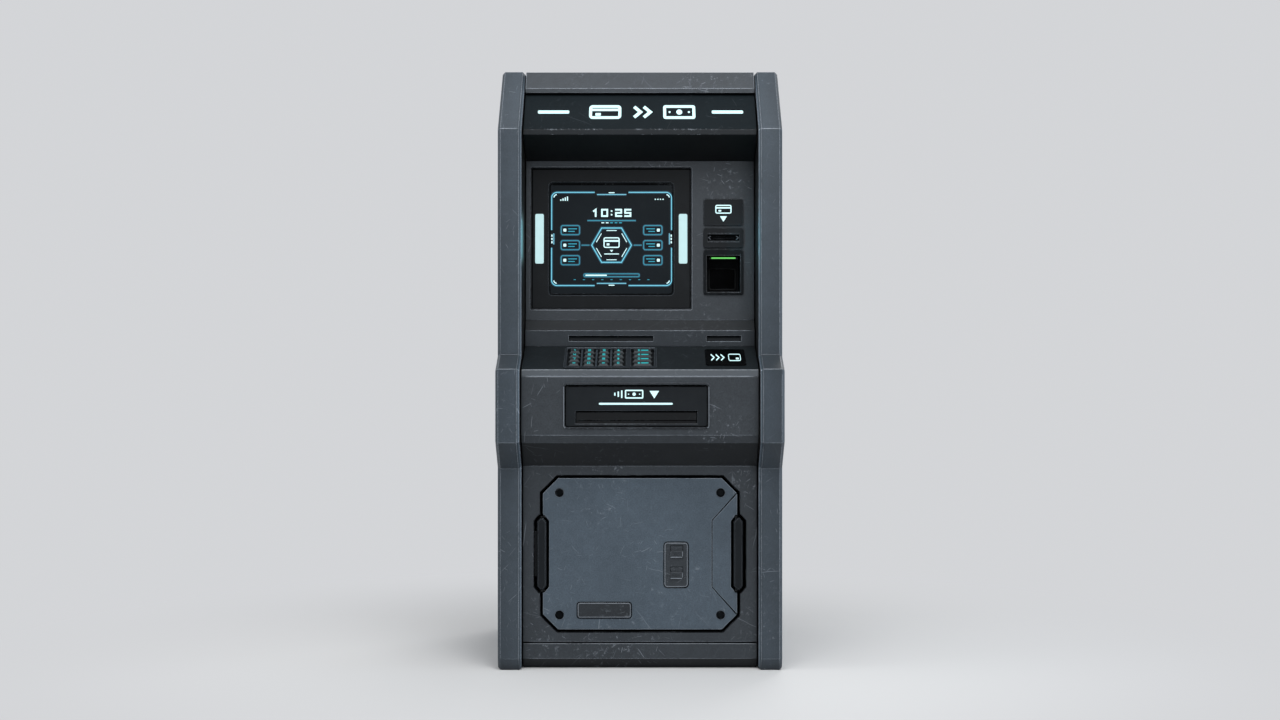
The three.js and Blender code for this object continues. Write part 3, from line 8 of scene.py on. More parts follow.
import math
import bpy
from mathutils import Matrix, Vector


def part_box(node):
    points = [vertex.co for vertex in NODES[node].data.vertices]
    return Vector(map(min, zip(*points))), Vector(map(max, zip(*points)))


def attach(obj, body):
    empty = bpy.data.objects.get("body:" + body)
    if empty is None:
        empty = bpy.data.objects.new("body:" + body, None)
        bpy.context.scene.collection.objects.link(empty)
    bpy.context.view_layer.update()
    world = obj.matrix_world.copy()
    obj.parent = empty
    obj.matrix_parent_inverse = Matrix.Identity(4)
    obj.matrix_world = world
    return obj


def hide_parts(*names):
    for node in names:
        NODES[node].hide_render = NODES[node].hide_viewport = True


bl_info = {
    "name": "Cash Machine Looks",
    "version": (1, 0, 0),
    "blender": (4, 5, 0),
    "location": "3D View > Sidebar > Cash Machine",
    "description": "Worn paint, lit signs, keys, a display and fittings for a cash machine",
    "category": "Object",
}

from functools import partial, reduce

import bmesh
import bpy
import numpy as np
from bpy.props import FloatProperty, FloatVectorProperty, PointerProperty
from bpy.types import Operator, Panel, PropertyGroup
from mathutils import Vector

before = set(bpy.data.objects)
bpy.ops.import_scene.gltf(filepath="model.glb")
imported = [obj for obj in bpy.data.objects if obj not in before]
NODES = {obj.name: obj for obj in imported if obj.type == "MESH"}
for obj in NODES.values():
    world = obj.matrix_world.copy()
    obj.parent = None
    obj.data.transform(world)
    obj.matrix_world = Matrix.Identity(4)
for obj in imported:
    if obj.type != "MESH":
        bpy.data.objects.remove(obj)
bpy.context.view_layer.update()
MM = 0.001


# ---------- Values that a user would change ----------


def colour(name, default, description):
    return FloatVectorProperty(
        name=name, description=description, default=default, size=3, min=0, max=1, subtype="COLOR"
    )


def length(name, default, description):
    return FloatProperty(name=name, description=description, default=default, min=0, unit="LENGTH")


def amount(name, default, description, high=1.0):
    return FloatProperty(name=name, description=description, default=default, min=0, max=high)


class PaintSettings(PropertyGroup):
    side: colour("Side paint", (0.042, 0.0555, 0.070), "Paint of the side panels and the service door")
    front: colour("Front paint", (0.041, 0.048, 0.056), "Paint of the panels between the side panels")
    shelf: colour("Shelf paint", (0.0098, 0.0131, 0.0157), "Paint of the keypad shelf")
    header: colour("Header paint", (0.0082, 0.0112, 0.0140), "Paint of the header's trim strip")
    sign: colour("Sign paint", (0.0058, 0.0098, 0.0125), "Paint of the panel behind the lit sign")
    # The nose paint is partly the nose's own paler colour and partly painted light on its up-facing slope.
    nose: colour("Nose paint", (0.044, 0.050, 0.058), "Paint of the front edge of the shelf")
    # This colour also paints the pale highlights along edges and on the highlight strips.
    worn: colour("Worn edges", (0.31, 0.35, 0.40), "Bare metal where the paint has rubbed off")
    plastic: colour("Black plastic", (0.0070, 0.0092, 0.0115), "Mouldings of the screen, card and cash units")
    key: colour("Keys", (0.040, 0.047, 0.052), "Key caps")
    steel: colour("Steel", (0.36, 0.37, 0.38), "Pins, locks and the cash unit")
    safe: colour("Safe paint", (0.050, 0.057, 0.063), "Safe and computer case")
    paper: colour("Paper", (0.82, 0.80, 0.75), "Receipt roll")
    edge_wear: amount("Edge wear", 0.74, "How much of each edge is rubbed bare")
    # Painted highlight: a pale line along every outer edge.
    edge_highlight: amount("Edge line", 0.42, "How pale the thin line along each edge is")
    # Painted shade: how far corners and gaps are darkened.
    corner_shade: amount("Corner Shade", 0.62, "How dark the corners and gaps are")
    scratches: amount("Scratches", 1.0, "How bright the scratches are")
    scuffs: amount("Scuffs", 0.5, "How bright the scuffed patches are")


class LightSettings(PropertyGroup):
    white: colour("Lit white", (0.66, 0.97, 1.0), "Signs and light bars")
    pale: colour("Lit pale blue", (0.24, 0.64, 0.80), "Bright cores of the lines on the display")
    cyan: colour("Lit cyan", (0.018, 0.30, 0.42), "Lines on the display")
    dim: colour("Dim blue", (0.003, 0.040, 0.072), "Glow around the lines on the display")
    keys: colour("Key marks", (0.02, 0.42, 0.45), "Marks on the keys")
    glass: colour("Display glass", (0.0032, 0.0056, 0.0076), "Glow of the display between its lines")
    green: colour("Scanner lamp", (0.13, 0.62, 0.11), "Lamp over the scanner")
    mark_height: length("Mark height", 0.0004, "How far the lit marks stand out of their face")


class FittingSettings(PropertyGroup):
    key_top: length("Key top width", 0.0215, "Width of the flat top of a narrow key")
    key_slope: length("Key end slope", 0.0035, "Slope at the front and back of a key")
    key_dish: length("Key dish", 0.0007, "How far the top of a key is hollowed")
    screw_radius: length("Screw radius", 0.0045, "Radius of the screw heads at the back and inside")
    hood_height: length("Louvre height", 0.005, "How far the rear louvres stand out")


class StageSettings(PropertyGroup):
    camera_distance: length("Camera distance", 5.027, "Camera in front of the middle of the machine")
    camera_height: length("Camera height", 0.816, "Camera above the floor")
    floor: colour("Floor", (0.67, 0.675, 0.68), "Floor around the machine")
    backdrop: colour("Backdrop", (0.655, 0.665, 0.685), "What the camera sees past the floor")
    world: amount("World light", 0.30, "Strength of the light from all around", 10.0)
    lamp: amount("Lamp light", 1.0, "Strength of all the lamps together", 10.0)


# ---------- Faces of the machine ----------


class Face:
    """The largest flat face of a CAD node that looks towards the customer, or its foremost large one."""

    def __init__(self, node, towards=(0, -1, 0.2), foremost=False):
        mesh = NODES[node].data
        count = len(mesh.polygons)
        normals = np.zeros(count * 3)
        centres = np.zeros(count * 3)
        areas = np.zeros(count)
        mesh.polygons.foreach_get("normal", normals)
        mesh.polygons.foreach_get("center", centres)
        mesh.polygons.foreach_get("area", areas)
        normals = normals.reshape(-1, 3)
        offsets = np.einsum("ij,ij->i", normals, centres.reshape(-1, 3))
        facing = normals @ np.array(towards) > 0.3
        # Polygons whose normals agree to 1/200 and whose offsets agree to 0.25 mm are one face.
        plane = np.round(np.column_stack([normals * 200, offsets * 4000])).astype(int)
        planes, member = np.unique(plane, axis=0, return_inverse=True)
        member = member.reshape(-1)
        totals = np.bincount(member, weights=areas * facing, minlength=len(planes))
        depths = np.where(totals > totals.max() * 0.15, planes[:, 3], -np.inf)
        chosen = np.flatnonzero(member == (depths if foremost else totals).argmax())
        corners = np.unique([v for i in chosen for v in mesh.polygons[int(i)].vertices])
        points = np.array([mesh.vertices[int(v)].co for v in corners])
        self.out = normals[chosen[0]]
        self.right = np.array([1.0, 0.0, 0.0])
        self.up = np.cross(self.out, self.right)
        self.up /= np.linalg.norm(self.up)
        across = points @ self.right
        upward = points @ self.up
        self.size = np.array([np.ptp(across), np.ptp(upward)])
        middle = [(across.min() + across.max()) / 2, (upward.min() + upward.max()) / 2]
        depth = np.mean(points @ self.out)
        self.middle = middle[0] * self.right + middle[1] * self.up + depth * self.out

    def place(self, points):
        """Carries flat points (x across, y up, z out, from the middle of the face) into the machine."""
        return (
            self.middle
            + points[..., 0:1] * self.right
            + points[..., 1:2] * self.up
            + points[..., 2:3] * self.out
        )

    def local(self, point):
        """Flat place (x across, y up) of a point of the machine."""
        offset = np.array(point) - self.middle
        return np.array([offset @ self.right, offset @ self.up])


# ---------- Surfaces ----------


def grid(points, close_u=False, close_v=False):
    """Quads that join each point of a grid to its neighbours; a closed direction joins back to its start."""
    rows, columns = points.shape[:2]
    i = np.arange(rows if close_u else rows - 1)[:, None]
    j = np.arange(columns if close_v else columns - 1)[None, :]
    next_i = (i + 1) % rows
    next_j = (j + 1) % columns
    corners = [i * columns + j, next_i * columns + j, next_i * columns + next_j, i * columns + next_j]
    return points.reshape(-1, 3), np.stack(corners, -1).reshape(-1, 4)


def joined(surfaces):
    """One list of points and quads for several surfaces."""
    starts = np.cumsum([0] + [len(points) for points, _ in surfaces[:-1]])
    points = np.concatenate([points for points, _ in surfaces])
    quads = np.concatenate([quads + start for (_, quads), start in zip(surfaces, starts)])
    return points, quads


def add_piece(name, face, surfaces, finish, body="cabinet", smooth=False):
    """Makes a mesh object of surfaces drawn flat on a face, or in their final place where face is None.

    Its seams and poles are closed, and it rides on the body.
    """
    if face is not None:
        surfaces = on_face(face, surfaces)
    points, quads = joined(surfaces)
    mesh = bpy.data.meshes.new(name)
    mesh.from_pydata(points.tolist(), [], quads.tolist())
    shell = bmesh.new()
    shell.from_mesh(mesh)
    bmesh.ops.remove_doubles(shell, verts=shell.verts, dist=2e-6)
    bmesh.ops.dissolve_degenerate(shell, edges=shell.edges, dist=1e-6)
    bmesh.ops.recalc_face_normals(shell, faces=shell.faces)
    shell.to_mesh(mesh)
    shell.free()
    mesh.polygons.foreach_set("use_smooth", [smooth] * len(mesh.polygons))
    mesh.materials.append(MATERIALS[finish])
    piece = bpy.data.objects.new(name, mesh)
    bpy.context.scene.collection.objects.link(piece)
    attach(piece, body)
    return piece


def corner_outline(width, height, radius, steps=6):
    """Rectangle with quarter-circle corners, walked once round against the clock."""
    turn = np.linspace(0, math.pi / 2, steps)
    corners = []
    for quarter, (sign_x, sign_y) in enumerate([(1, 1), (-1, 1), (-1, -1), (1, -1)]):
        angle = turn + quarter * math.pi / 2
        x = sign_x * (width / 2 - radius) + radius * np.cos(angle)
        y = sign_y * (height / 2 - radius) + radius * np.sin(angle)
        corners.append(np.column_stack([x, y]))
    return np.concatenate(corners)


def polygon_outline(corners, steps=4):
    """Straight-sided outline through the corners, with a few points on every side."""
    corners = np.array(corners, float)
    share = np.arange(steps)[None, :, None] / steps
    following = np.roll(corners, -1, axis=0)
    return (corners[:, None] * (1 - share) + following[:, None] * share).reshape(-1, 2)


def circle_outline(radius, steps=28):
    angle = np.arange(steps) * 2 * math.pi / steps
    return radius * np.column_stack([np.cos(angle), np.sin(angle)])


def pad(outline, height, base=0.0, centre=(0, 0), edge=0.25):
    """A filled shape: rings from the outline to its middle, first up the side and then in over the top.

    Each ring is the outline shrunk towards its middle by the ring's share, at the ring's height. The
    upper part of the height, edge, is a bevel.
    """
    reach = np.abs(outline).max()
    inset = 1 - edge * height / max(reach, 1e-6)
    shares = np.array([0, 1, 1, inset, 0])
    heights = base + height * np.array([0, 0, 1 - edge, 1, 1])
    flat = outline[None] * shares[:, None, None] + np.array(centre)
    points = np.concatenate([flat, np.broadcast_to(heights[:, None, None], flat.shape[:2] + (1,))], -1)
    return grid(points, close_v=True)


def plate(width, tall, radius, height, base=0.0, centre=(0, 0), edge=0.25):
    """A filled rectangle with round corners."""
    return pad(corner_outline(width, tall, radius), height, base, centre, edge)


def stroke(path, width, height, base=0.0, closed=False, centre=(0, 0)):
    """A flat-topped line: a low box section carried along the path, mitred where the path turns."""
    path = np.array(path, float)
    ahead = np.roll(path, -1, axis=0) - path
    if not closed:
        ahead[-1] = ahead[-2]
    ahead /= np.linalg.norm(ahead, axis=1, keepdims=True)
    behind = np.roll(ahead, 1, axis=0)
    if not closed:
        behind[0] = ahead[0]
    left = np.column_stack([-(ahead + behind)[:, 1], (ahead + behind)[:, 0]])
    left /= (1 + np.einsum("ij,ij->i", ahead, behind))[:, None]
    sides = np.array([-0.5, -0.5, 0.5, 0.5]) * width
    rises = base + height * np.array([0, 1, 1, 0])
    flat = path[:, None] + left[:, None] * sides[None, :, None] + np.array(centre)
    rise = np.broadcast_to(rises[None, :, None], flat.shape[:2] + (1,))
    points = np.concatenate([flat, rise], -1)
    if not closed:
        ends = points[[0, -1]].mean(1, keepdims=True).repeat(4, axis=1)
        points = np.concatenate([ends[:1], points, ends[1:]])
    return grid(points, close_u=closed, close_v=True)


def arc(radius, start, end, steps=12, centre=(0, 0)):
    """Points on a circle between two angles in degrees."""
    angle = np.radians(np.linspace(start, end, steps))
    return np.array(centre) + radius * np.column_stack([np.cos(angle), np.sin(angle)])


def turned(profile, steps=24):
    """A profile of (radius, height) points turned once round the z axis; it starts and ends on the axis."""
    angle = np.arange(steps) * 2 * math.pi / steps
    radius, height = np.array(profile, float).T
    x = radius[:, None] * np.cos(angle)
    y = radius[:, None] * np.sin(angle)
    z = np.broadcast_to(height[:, None], x.shape)
    return grid(np.stack([x, y, z], -1), close_v=True)


def moved(surface, offset=(0, 0, 0), scale=(1, 1, 1)):
    points, quads = surface
    return points * np.array(scale, float) + np.array(offset, float), quads


def on_face(face, surfaces):
    return [(face.place(points), quads) for points, quads in surfaces]


# ---------- Marks ----------

# Each digit is drawn with straight strokes in a box of width 1 and height 1.
DIGITS = {
    "0": [[(0, 0), (1, 0), (1, 1), (0, 1), (0, 0)]],
    "1": [[(0.2, 0.78), (0.55, 1), (0.55, 0)]],
    "2": [[(0, 1), (1, 1), (1, 0.5), (0, 0.5), (0, 0), (1, 0)]],
    "3": [[(0, 1), (1, 1), (1, 0), (0, 0)], [(0.2, 0.5), (1, 0.5)]],
    "4": [[(0, 1), (0, 0.45), (1, 0.45)], [(0.8, 1), (0.8, 0)]],
    "5": [[(1, 1), (0, 1), (0, 0.5), (1, 0.5), (1, 0), (0, 0)]],
    "6": [[(1, 1), (0, 1), (0, 0), (1, 0), (1, 0.5), (0, 0.5)]],
    "7": [[(0, 1), (1, 1), (0.45, 0)]],
    "8": [[(0, 0), (1, 0), (1, 1), (0, 1), (0, 0)], [(0, 0.5), (1, 0.5)]],
    "9": [[(1, 0.5), (0, 0.5), (0, 1), (1, 1), (1, 0), (0, 0)]],
}


def digit(text, size, width, height, centre=(0, 0)):
    """Strokes of one digit, spread over a box of the given size about its centre."""
    box = np.array(size)
    strokes = []
    for path in DIGITS[text]:
        points = (np.array(path) - 0.5) * (box - width) + np.array(centre)
        strokes.append(stroke(lengthened(points, width / 2), width, height))
    return strokes


def lengthened(path, reach):
    """Moves both ends of an open path outwards, so that its strokes end square at the corners."""
    path = np.array(path, float)
    first = path[0] - path[1]
    last = path[-1] - path[-2]
    path[0] += first / np.linalg.norm(first) * reach
    path[-1] += last / np.linalg.norm(last) * reach
    return path


def card_mark(size, line, height, centre=(0, 0)):
    """Outline of a bank card with its stripe and chip."""
    width, tall = size
    outline = corner_outline(width - line, tall - line, min(width, tall) * 0.14)
    stripe = corner_outline(width - line, tall * 0.17, tall * 0.01, 2)
    chip = corner_outline(width * 0.17, tall * 0.2, tall * 0.03, 3)
    cx, cy = centre
    return [
        stroke(outline, line, height, closed=True, centre=centre),
        pad(stripe, height, centre=(cx, cy + tall * 0.16)),
        pad(chip, height, centre=(cx - width * 0.22, cy - tall * 0.17)),
    ]


def note_mark(size, line, height, centre=(0, 0)):
    """Outline of a bank note with a disc in its middle and a dot on either side."""
    width, tall = size
    outline = corner_outline(width - line, tall - line, tall * 0.06, 3)
    cx, cy = centre
    dots = [
        pad(circle_outline(tall * 0.07, 16), height, centre=(cx + side * width * 0.3, cy))
        for side in (-1, 1)
    ]
    return [
        stroke(outline, line, height, closed=True, centre=centre),
        pad(circle_outline(tall * 0.19), height, centre=centre),
        *dots,
    ]


def arrow_mark(size, height, centre=(0, 0), turn=0.0):
    """Solid triangle that points down, or further round against the clock by the turn in degrees."""
    width, tall = size
    corners = np.array([(-width / 2, tall / 3), (0, -tall * 2 / 3), (width / 2, tall / 3)])
    angle = math.radians(turn)
    spin = np.array([[math.cos(angle), math.sin(angle)], [-math.sin(angle), math.cos(angle)]])
    return pad(polygon_outline(corners @ spin), height, centre=centre)


def chevron(size, line, height, centre=(0, 0)):
    """Open arrowhead that points right."""
    width, tall = size
    path = [(-width / 2, -tall / 2), (width / 2, 0), (-width / 2, tall / 2)]
    return stroke(path, line, height, centre=centre)


# ---------- Node helpers ----------


def connect(tree, socket, value):
    if isinstance(value, bpy.types.NodeSocket):
        tree.links.new(value, socket)
    else:
        socket.default_value = value


def add_node(tree, kind, inputs=None, **settings):
    """Adds a shader node, sets its options, and links or fills its inputs by name or number."""
    node = tree.nodes.new("ShaderNode" + kind)
    for name, value in settings.items():
        setattr(node, name, value)
    for name, value in (inputs or {}).items():
        connect(tree, node.inputs[name], value)
    return node


def calculate(tree, operation, *values, clamp=False):
    return add_node(tree, "Math", dict(enumerate(values)), operation=operation, use_clamp=clamp).outputs[0]


def product(tree, *values):
    return reduce(partial(calculate, tree, "MULTIPLY"), values)


def largest(tree, *values):
    return reduce(partial(calculate, tree, "MAXIMUM"), values)


def calculate_vector(tree, operation, *values):
    outputs = add_node(tree, "VectorMath", dict(enumerate(values)), operation=operation).outputs
    return outputs["Value" if operation in ("DISTANCE", "DOT_PRODUCT", "LENGTH") else "Vector"]


def coordinates(tree, kind="Object"):
    return add_node(tree, "TexCoord").outputs[kind]


def split(tree, vector):
    return add_node(tree, "SeparateXYZ", {0: vector}).outputs


def coordinate(tree, kind, axis):
    return split(tree, coordinates(tree, kind))[axis]


def step(tree, value, low, high, start=0.0, end=1.0):
    """Smooth change from start to end while the value goes from low to high."""
    inputs = {"Value": value, "From Min": low, "From Max": high, "To Min": start, "To Max": end}
    return add_node(tree, "MapRange", inputs, interpolation_type="SMOOTHSTEP").outputs[0]


def mix_colour(tree, factor, first, second, blend="MIX"):
    inputs = {0: factor, 6: first, 7: second}
    return add_node(tree, "Mix", inputs, data_type="RGBA", blend_type=blend).outputs[2]


def mix_value(tree, factor, first, second):
    return add_node(tree, "Mix", {0: factor, 2: first, 3: second}, data_type="FLOAT").outputs[0]


def scaled_colour(tree, shade, factor):
    factors = add_node(tree, "CombineColor", {0: factor, 1: factor, 2: factor}).outputs[0]
    return mix_colour(tree, 1.0, shade, factors, "MULTIPLY")


def noise(tree, vector, scale, detail=3.0, roughness=0.5):
    inputs = {"Vector": vector, "Scale": scale, "Detail": detail, "Roughness": roughness}
    return add_node(tree, "TexNoise", inputs).outputs[0]


def new_group(name, inputs, outputs):
    """A shader node group; its inputs are (kind, default) by name, and its outputs kinds by name."""
    group = bpy.data.node_groups.new(name, "ShaderNodeTree")
    for label, (kind, default) in inputs.items():
        socket = group.interface.new_socket(label, in_out="INPUT", socket_type="NodeSocket" + kind)
        if default is not None:
            socket.default_value = default
    for label, kind in outputs.items():
        group.interface.new_socket(label, in_out="OUTPUT", socket_type="NodeSocket" + kind)
    return group, group.nodes.new("NodeGroupInput").outputs


def deliver(group, **values):
    """Feeds the outputs of a group by name, and returns the group."""
    leave = group.nodes.new("NodeGroupOutput").inputs
    for name, value in values.items():
        connect(group, leave[name], value)
    return group


def placed_group(tree, group, **inputs):
    return add_node(tree, "Group", inputs, node_tree=group).outputs


# ---------- Shared effects ----------

# Near black for painted shade: in corners, grooves, recesses and on the side slopes of keys.
SHADE_BLACK = (0.0022, 0.0026, 0.003, 1)
SURFACE = {"Color": "Color", "Roughness": "Float", "Height": "Float", "Normal": "Vector"}

# Scratches of each size: cells in a metre, length, width and the share of the cells that hold one.
SCRATCHES = [(9.0, 0.05, 0.0010, 0.45), (26.0, 0.018, 0.0009, 0.30), (60.0, 0.008, 0.0007, 0.30)]

# Middle and radius of each place that hands, feet and keys have rubbed.
HANDLED = [
    ((-0.06, -0.33, 0.05), 0.16),
    ((-0.10, -0.33, 0.43), 0.09),
    ((0.20, -0.40, 0.64), 0.10),
    ((0.24, -0.20, 1.30), 0.09),
    ((0.17, -0.22, 1.57), 0.10),
    ((-0.25, -0.33, 0.10), 0.10),
    ((0.29, -0.33, 0.50), 0.08),
]


def flat_place_group():
    """Flat coordinates on the surface, in metres: across and up as seen from the side it faces."""
    group, _ = new_group("flat place", {}, {"Place": "Vector"})
    facing = split(group, calculate_vector(group, "ABSOLUTE", coordinates(group, "Normal")))
    point = split(group, coordinates(group))
    sideways = calculate(group, "GREATER_THAN", facing["X"], 0.7)
    upwards = calculate(group, "GREATER_THAN", facing["Z"], 0.8)
    across = mix_value(group, sideways, point["X"], point["Y"])
    up = mix_value(group, upwards, point["Z"], point["Y"])
    return deliver(group, Place=add_node(group, "CombineXYZ", {0: across, 1: up}).outputs[0])


def scratch_group():
    """Thin, slightly bent scratches: one per cell, at a random angle, kept in a share of the cells."""
    inputs = {
        "Place": ("Vector", None),
        "Cells": ("Float", 12.0),
        "Length": ("Float", 0.02),
        "Width": ("Float", 0.0006),
        "Share": ("Float", 0.4),
    }
    group, enter = new_group("scratches", inputs, {"Mask": "Float"})
    bend = calculate(group, "MULTIPLY", noise(group, enter["Place"], 25.0, 1.0), 0.006)
    bent = calculate_vector(group, "ADD", enter["Place"], bend)
    cells = add_node(
        group, "TexVoronoi", {"Vector": bent, "Scale": enter["Cells"]}, voronoi_dimensions="2D"
    ).outputs
    inside = calculate_vector(group, "SUBTRACT", bent, cells["Position"])
    chance = add_node(group, "SeparateColor", {0: cells["Color"]}).outputs
    turn = {"Vector": inside, "Angle": calculate(group, "MULTIPLY", chance["Red"], 2 * math.pi)}
    spun = split(group, add_node(group, "VectorRotate", turn, rotation_type="Z_AXIS").outputs[0])
    along, across = [calculate(group, "ABSOLUTE", spun[axis]) for axis in ("X", "Y")]
    half_length = calculate(group, "MULTIPLY", enter["Length"], 0.5)
    short = step(group, along, half_length, enter["Length"], 1.0, 0.0)
    thin = step(group, across, 0.0, enter["Width"], 1.0, 0.0)
    kept = calculate(group, "LESS_THAN", chance["Green"], enter["Share"])
    return deliver(group, Mask=product(group, short, thin, kept, chance["Blue"]))


def handled_group():
    """One in the middle of each handled place, fading out to zero at its radius."""
    group, _ = new_group("handled places", {}, {"Mask": "Float"})
    point = coordinates(group)
    masks = [
        step(group, calculate_vector(group, "DISTANCE", point, middle), radius * 0.3, radius, 1.0, 0.0)
        for middle, radius in HANDLED
    ]
    return deliver(group, Mask=largest(group, *masks))


def edge_group():
    """Rubbed edges, a painted highlight along outer edges, and how open each place is for the painted shade
    in corners, with the rounded normal.

    The rounded normal leaves the flat one near an edge, so one minus their dot product says how close it is.
    Open is the share of the sky that nearby surfaces leave free: low in corners, one on outer edges; the
    paint is darkened where it is low, as painted shade. Mask is the rubbed patches, Highlight the thin pale
    line of painted highlight along outer edges.
    """
    inputs = {"Radius": ("Float", 0.003), "Amount": ("Float", 0.5)}
    outputs = {"Mask": "Float", "Line": "Float", "Open": "Float", "Normal": "Vector"}
    group, enter = new_group("edge wear", inputs, outputs)
    bevel = add_node(group, "Bevel", {"Radius": enter["Radius"]}, samples=5).outputs[0]
    flat = add_node(group, "NewGeometry").outputs["Normal"]
    same = calculate_vector(group, "DOT_PRODUCT", bevel, flat)
    close = step(group, calculate(group, "SUBTRACT", 1.0, same, clamp=True), 0.0, 0.06)
    place = coordinates(group)
    fine = noise(group, place, 130.0, 5.0, 0.7)
    level = calculate(group, "MULTIPLY_ADD", fine, 2.4, close)
    level = calculate(group, "MULTIPLY_ADD", noise(group, place, 9.0, 2.0), 2.0, level)
    level = calculate(group, "ADD", level, enter["Amount"])
    free = add_node(group, "AmbientOcclusion", {"Distance": 0.03}, samples=6).outputs["AO"]
    outer = step(group, free, 0.72, 0.95)
    mask = product(group, step(group, level, 3.35, 3.7), step(group, close, 0.02, 0.25), outer)
    # Painted highlight: a broken pale line along outer edges.
    line = product(group, step(group, close, 0.05, 0.5), step(group, fine, 0.38, 0.62, 0.3, 1.0), outer)
    return deliver(group, Mask=mask, Line=line, Open=free, Normal=bevel)


def paint_group(groups):
    """Worn paint: mottled colour, scuffed patches, scratches and rubbed edges, with a painted highlight along
    outer edges and painted shade in corners and on undersides.
    """
    inputs = {
        "Paint": ("Color", (0.1, 0.1, 0.1, 1)),
        "Worn": ("Color", (0.3, 0.3, 0.3, 1)),
        "Edges": ("Float", 0.5),
        "Line": ("Float", 0.3),
        "Corner Shade": ("Float", 0.6),
        "Scratches": ("Float", 0.5),
        "Scuffs": ("Float", 0.5),
        "Roughness": ("Float", 0.5),
        "Underside": ("Float", 1.0),
    }
    group, enter = new_group("worn paint", inputs, SURFACE)
    point = coordinates(group)
    place = placed_group(group, groups["flat place"])["Place"]
    edges = placed_group(group, groups["edge wear"], Amount=enter["Edges"])
    handled = placed_group(group, groups["handled places"])["Mask"]

    broad = noise(group, point, 4.5, 4.0, 0.6)
    cloudy = noise(group, point, 42.0, 5.0, 0.65)
    grain = noise(group, point, 420.0, 2.0, 0.6)
    # Painted shade: faces that look down keep only the underside's share of the colour.
    level = step(group, coordinate(group, "Normal", "Z"), -0.60, -0.55)
    shaded = mix_value(group, level, enter["Underside"], 1.0)
    # Painted shade: corners and gaps, where little sky is open, are darkened by up to the corner shade.
    deepest_corner_tone = calculate(group, "SUBTRACT", 1.0, enter["Corner Shade"])
    corner_tone = mix_value(group, step(group, edges["Open"], 0.05, 0.85), deepest_corner_tone, 1.0)
    mottled = step(group, broad, 0.3, 0.7, 0.92, 1.08)
    clouded = step(group, cloudy, 0.3, 0.7, 0.95, 1.06)
    grained = step(group, grain, 0.25, 0.75, 0.84, 1.17)
    shade = scaled_colour(group, enter["Paint"], product(group, mottled, clouded, grained, shaded, corner_tone))

    where = largest(group, step(group, noise(group, point, 3.6, 3.0), 0.54, 0.72), handled)
    flecks = step(group, noise(group, point, 75.0, 6.0, 0.75), 0.56, 0.70)
    scuff = product(group, where, flecks, enter["Scuffs"])
    marks = []
    for cells, long, wide, share in SCRATCHES:
        size = {"Cells": cells, "Length": long, "Width": wide, "Share": share}
        marks.append(placed_group(group, groups["scratches"], Place=place, **size)["Mask"])
    patches = largest(group, step(group, noise(group, point, 5.0, 2.0), 0.48, 0.68, 0.10, 0.75), handled)
    scratch = product(group, largest(group, *marks), patches, enter["Scratches"])
    bare = product(group, largest(group, scratch, scuff), shaded)
    bare = largest(group, bare, product(group, edges["Mask"], 0.85))
    # Painted highlight: the pale line along outer edges joins the bare places, so bare is part wear and part
    # painted highlight.
    bare = calculate(group, "MAXIMUM", bare, product(group, edges["Line"], enter["Line"]), clamp=True)

    rough = calculate(group, "MULTIPLY_ADD", cloudy, 0.16, enter["Roughness"])
    return deliver(
        group,
        Color=mix_colour(group, bare, shade, enter["Worn"]),
        Roughness=calculate(group, "MULTIPLY_ADD", bare, -0.12, rough, clamp=True),
        Height=calculate(group, "MULTIPLY_ADD", scratch, -0.15, product(group, grain, 0.35)),
        Normal=edges["Normal"],
    )


def moulding_group(groups):
    """Moulded plastic: a fine grain, faint wipe marks, softly lit edges as a painted highlight, and painted
    shade in corners.
    """
    inputs = {
        "Plastic": ("Color", (0.02, 0.02, 0.02, 1)),
        "Worn": ("Color", (0.2, 0.2, 0.2, 1)),
        "Edges": ("Float", 0.5),
        "Line": ("Float", 0.3),
        "Corner Shade": ("Float", 0.6),
        "Roughness": ("Float", 0.4),
    }
    group, enter = new_group("moulding", inputs, SURFACE)
    point = coordinates(group)
    edges = placed_group(group, groups["edge wear"], Radius=0.0015, Amount=enter["Edges"])
    wipes = noise(group, point, 14.0, 4.0, 0.65)
    lighter = mix_colour(group, step(group, wipes, 0.35, 0.8, 0.0, 0.012), enter["Plastic"], enter["Worn"])
    # Rubbed edges, and a painted highlight along outer edges, mixed towards the worn colour.
    rubbed = largest(
        group, product(group, edges["Mask"], 0.35), product(group, edges["Line"], enter["Line"])
    )
    shade = mix_colour(group, rubbed, lighter, enter["Worn"])
    # Painted shade: corners and gaps are mixed towards near black.
    corner_shade = product(group, step(group, edges["Open"], 0.05, 0.85, 1.0, 0.0), enter["Corner Shade"])
    return deliver(
        group,
        Color=mix_colour(group, corner_shade, shade, SHADE_BLACK),
        Roughness=calculate(group, "MULTIPLY_ADD", wipes, 0.2, enter["Roughness"], clamp=True),
        Height=noise(group, point, 1400.0, 2.0),
        Normal=edges["Normal"],
    )


# ---------- Materials ----------

MATERIALS = {}


def solid(values):
    return (*values, 1.0)


def new_material(name):
    material = bpy.data.materials.new(name)
    material.use_nodes = True
    MATERIALS[name] = material
    return material.node_tree, material.node_tree.nodes["Principled BSDF"].inputs


def add_bump(tree, shader, strength, distance, **inputs):
    inputs.update(Strength=strength, Distance=distance)
    connect(tree, shader["Normal"], add_node(tree, "Bump", inputs).outputs[0])


